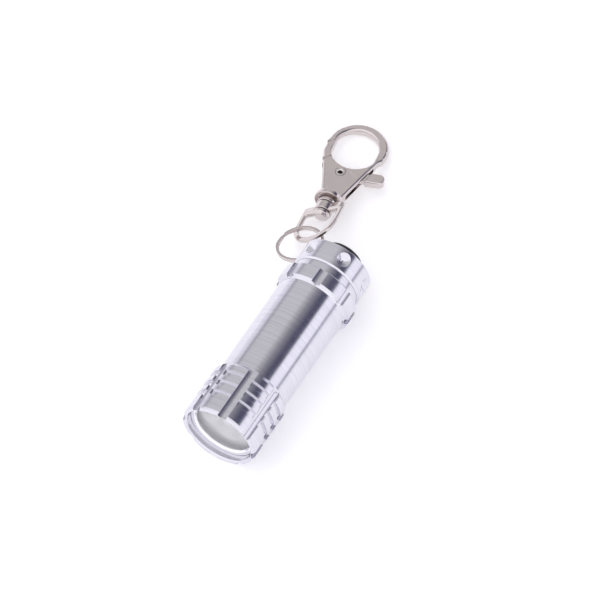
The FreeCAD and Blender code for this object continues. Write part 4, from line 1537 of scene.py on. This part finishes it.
class Insides:
    """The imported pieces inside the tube, which keep their CAD shapes."""

    FINISHES = {
        "front_spring": BRIGHT_WIRE, "battery_sleeve": BLACK_PLASTIC, "front_contact": BRASS,
        "cell_1": CELL_STEEL, "cell_2": CELL_STEEL, "cell_3": CELL_STEEL, "cell_4": CELL_STEEL,
        "switch_housing": BLACK_PLASTIC, "switch_terminal": BRASS, "tail_spring": BRIGHT_WIRE,
        "plunger_spring": BRIGHT_WIRE, "contact_plate": BRASS, "switch_plunger": BLACK_PLASTIC,
    }

    def build(self) -> list[bpy.types.Object]:
        """Dress the inner pieces.

        Returns:
            The CAD nodes that were dressed.
        """
        for node, finish in self.FINISHES.items():
            dress_node(node, finish)
        return [frame["nodes"][node] for node in self.FINISHES]


# ---------------------------------------------------------------------------------------------
# Studio
# ---------------------------------------------------------------------------------------------

@dataclass
class Studio:
    """Pale floor, soft light all round and the camera.

    Attributes:
        target: What the camera looks at, in metres.
    """

    target: Vector = field(default_factory=lambda: Vector((-0.0028, 0.04325, 0.0)))
    azimuth: float = math.radians(30.5)
    elevation: float = math.radians(57.3)
    lens: float = 1100.0
    sensor: float = 36.0
    width: float = 0.14354
    floor_level: float = -0.01
    floor_size: float = 3.0
    sky_strength: float = 1.18
    floor_colour: tuple[float, float, float] = (0.93, 0.925, 0.945)
    floor_glow: float = 0.27
    key_size: float = 0.6
    key_energy: float = 0.9
    key_place: tuple[float, float, float] = (-0.35, 0.25, 0.75)

    def floor(self) -> None:
        """A plain pale floor under the torch."""
        half = self.floor_size / 2.0
        mesh = bpy.data.meshes.new("floor")
        mesh.from_pydata([(-half, -half, self.floor_level), (half, -half, self.floor_level),
                          (half, half, self.floor_level), (-half, half, self.floor_level)],
                         [], [(0, 1, 2, 3)])
        plane = bpy.data.objects.new("floor", mesh)
        bpy.context.scene.collection.objects.link(plane)
        pale = bpy.data.materials.new("floor_pale")
        pale.use_nodes = True
        shader = pale.node_tree.nodes["Principled BSDF"]
        shader.inputs["Base Color"].default_value = (*self.floor_colour, 1.0)
        shader.inputs["Roughness"].default_value = 0.9
        shader.inputs["Emission Color"].default_value = (1.0, 1.0, 1.0, 1.0)
        shader.inputs["Emission Strength"].default_value = self.floor_glow
        mesh.materials.append(pale)

    def surroundings(self) -> None:
        """Soft light that differs round the torch axis: a lit side, a dim top and a pale back."""
        world = bpy.data.worlds.new("studio")
        bpy.context.scene.world = world
        world.use_nodes = True
        nodes = world.node_tree.nodes
        links = world.node_tree.links
        sky = nodes["Background"]
        spot = nodes.new("ShaderNodeTexCoord")
        split = nodes.new("ShaderNodeSeparateXYZ")
        turn = nodes.new("ShaderNodeMath")
        turn.operation = "ARCTAN2"
        share = nodes.new("ShaderNodeMapRange")
        share.inputs["From Min"].default_value = -math.pi
        share.inputs["From Max"].default_value = math.pi
        ramp = nodes.new("ShaderNodeValToRGB")
        links.new(spot.outputs["Generated"], split.inputs["Vector"])
        links.new(split.outputs["Z"], turn.inputs[0])
        links.new(split.outputs["X"], turn.inputs[1])
        links.new(turn.outputs[0], share.inputs["Value"])
        links.new(share.outputs["Result"], ramp.inputs["Fac"])
        ahead = nodes.new("ShaderNodeMapRange")
        ahead.interpolation_type = "SMOOTHSTEP"
        ahead.inputs["From Min"].default_value = 0.08
        ahead.inputs["From Max"].default_value = -0.22
        mixed = nodes.new("ShaderNodeMix")
        mixed.data_type = "RGBA"
        mixed.inputs[7].default_value = (1.08, 1.07, 1.10, 1.0)
        links.new(split.outputs["Y"], ahead.inputs["Value"])
        links.new(ahead.outputs["Result"], mixed.inputs[0])
        links.new(ramp.outputs["Color"], mixed.inputs[6])
        links.new(mixed.outputs[2], sky.inputs["Color"])
        pale, navy, line = (0.80, 0.79, 0.86), (0.075, 0.075, 0.125), (0.26, 0.26, 0.34)
        bright, grey, mist = (1.00, 0.99, 1.06), (0.60, 0.595, 0.60), (0.30, 0.295, 0.32)
        stops = [(-180.0, pale), (0.0, pale), (3.0, line), (7.0, line), (10.0, bright),
                 (38.0, bright), (43.0, navy), (58.0, navy), (82.0, mist), (100.0, grey),
                 (132.0, grey), (150.0, grey), (158.0, mist), (166.0, pale), (180.0, pale)]
        elements = ramp.color_ramp.elements
        while len(elements) > 1:
            elements.remove(elements[-1])
        for index, (degrees, colour) in enumerate(stops):
            position = (degrees + 180.0) / 360.0
            stop = elements[0] if index == 0 else elements.new(position)
            stop.position = position
            stop.color = (*colour, 1.0)
        sky.inputs["Strength"].default_value = self.sky_strength

    def lights(self) -> None:
        """A large soft key light overhead that also whitens the floor."""
        data = bpy.data.lights.new("key", "AREA")
        data.shape = "RECTANGLE"
        data.size = self.key_size
        data.size_y = self.key_size
        data.energy = self.key_energy
        lamp = bpy.data.objects.new("key", data)
        lamp.location = self.key_place
        lamp.rotation_mode = "QUATERNION"
        lamp.rotation_quaternion = (lamp.location - self.target).to_track_quat("Z", "Y")
        lamp.visible_glossy = False
        bpy.context.scene.collection.objects.link(lamp)

    def camera(self) -> None:
        """A long lens at the set viewing angle."""
        back = Vector((math.sin(self.azimuth) * math.cos(self.elevation),
                       -math.cos(self.azimuth) * math.cos(self.elevation),
                       math.sin(self.elevation)))
        data = bpy.data.cameras.new("camera")
        data.lens = self.lens
        data.sensor_width = self.sensor
        away = self.width * self.lens / self.sensor
        data.clip_start = 0.5
        data.clip_end = away * 3.0
        view = bpy.data.objects.new("camera", data)
        view.location = self.target + back * away
        view.rotation_mode = "QUATERNION"
        view.rotation_quaternion = back.to_track_quat("Z", "Y")
        bpy.context.scene.collection.objects.link(view)
        bpy.context.scene.camera = view

    def build(self) -> list[bpy.types.Object]:
        """Set the studio up.

        Returns:
            Nothing of the torch itself.
        """
        bpy.context.scene.view_settings.view_transform = "Standard"
        self.camera()
        self.surroundings()
        self.lights()
        self.floor()
        return []


def main() -> None:
    """Build every sub-assembly in order and report its pieces."""
    logging.basicConfig(level=logging.INFO, format="%(name)s: %(message)s")
    places = Places()
    builders: list[tuple[str, Callable[[], list[bpy.types.Object]]]] = [
        ("studio", Studio().build),
        ("body tube", BodyTube(places.torch).build),
        ("front end", FrontEnd(places.torch).build),
        ("tail end", TailEnd(places.torch).build),
        ("split ring", SplitRing(places.ring).build),
        ("swivel eye", SwivelEye(places.eye).build),
        ("swivel post", SwivelPost(places.post).build),
        ("clasp", Clasp(places.clasp).build),
        ("insides", Insides().build),
    ]
    for label, build in builders:
        for piece in build():
            LOG.info("%s: %s", label, piece.name)
    bpy.context.view_layer.update()


if __name__ == "__main__":
    main()
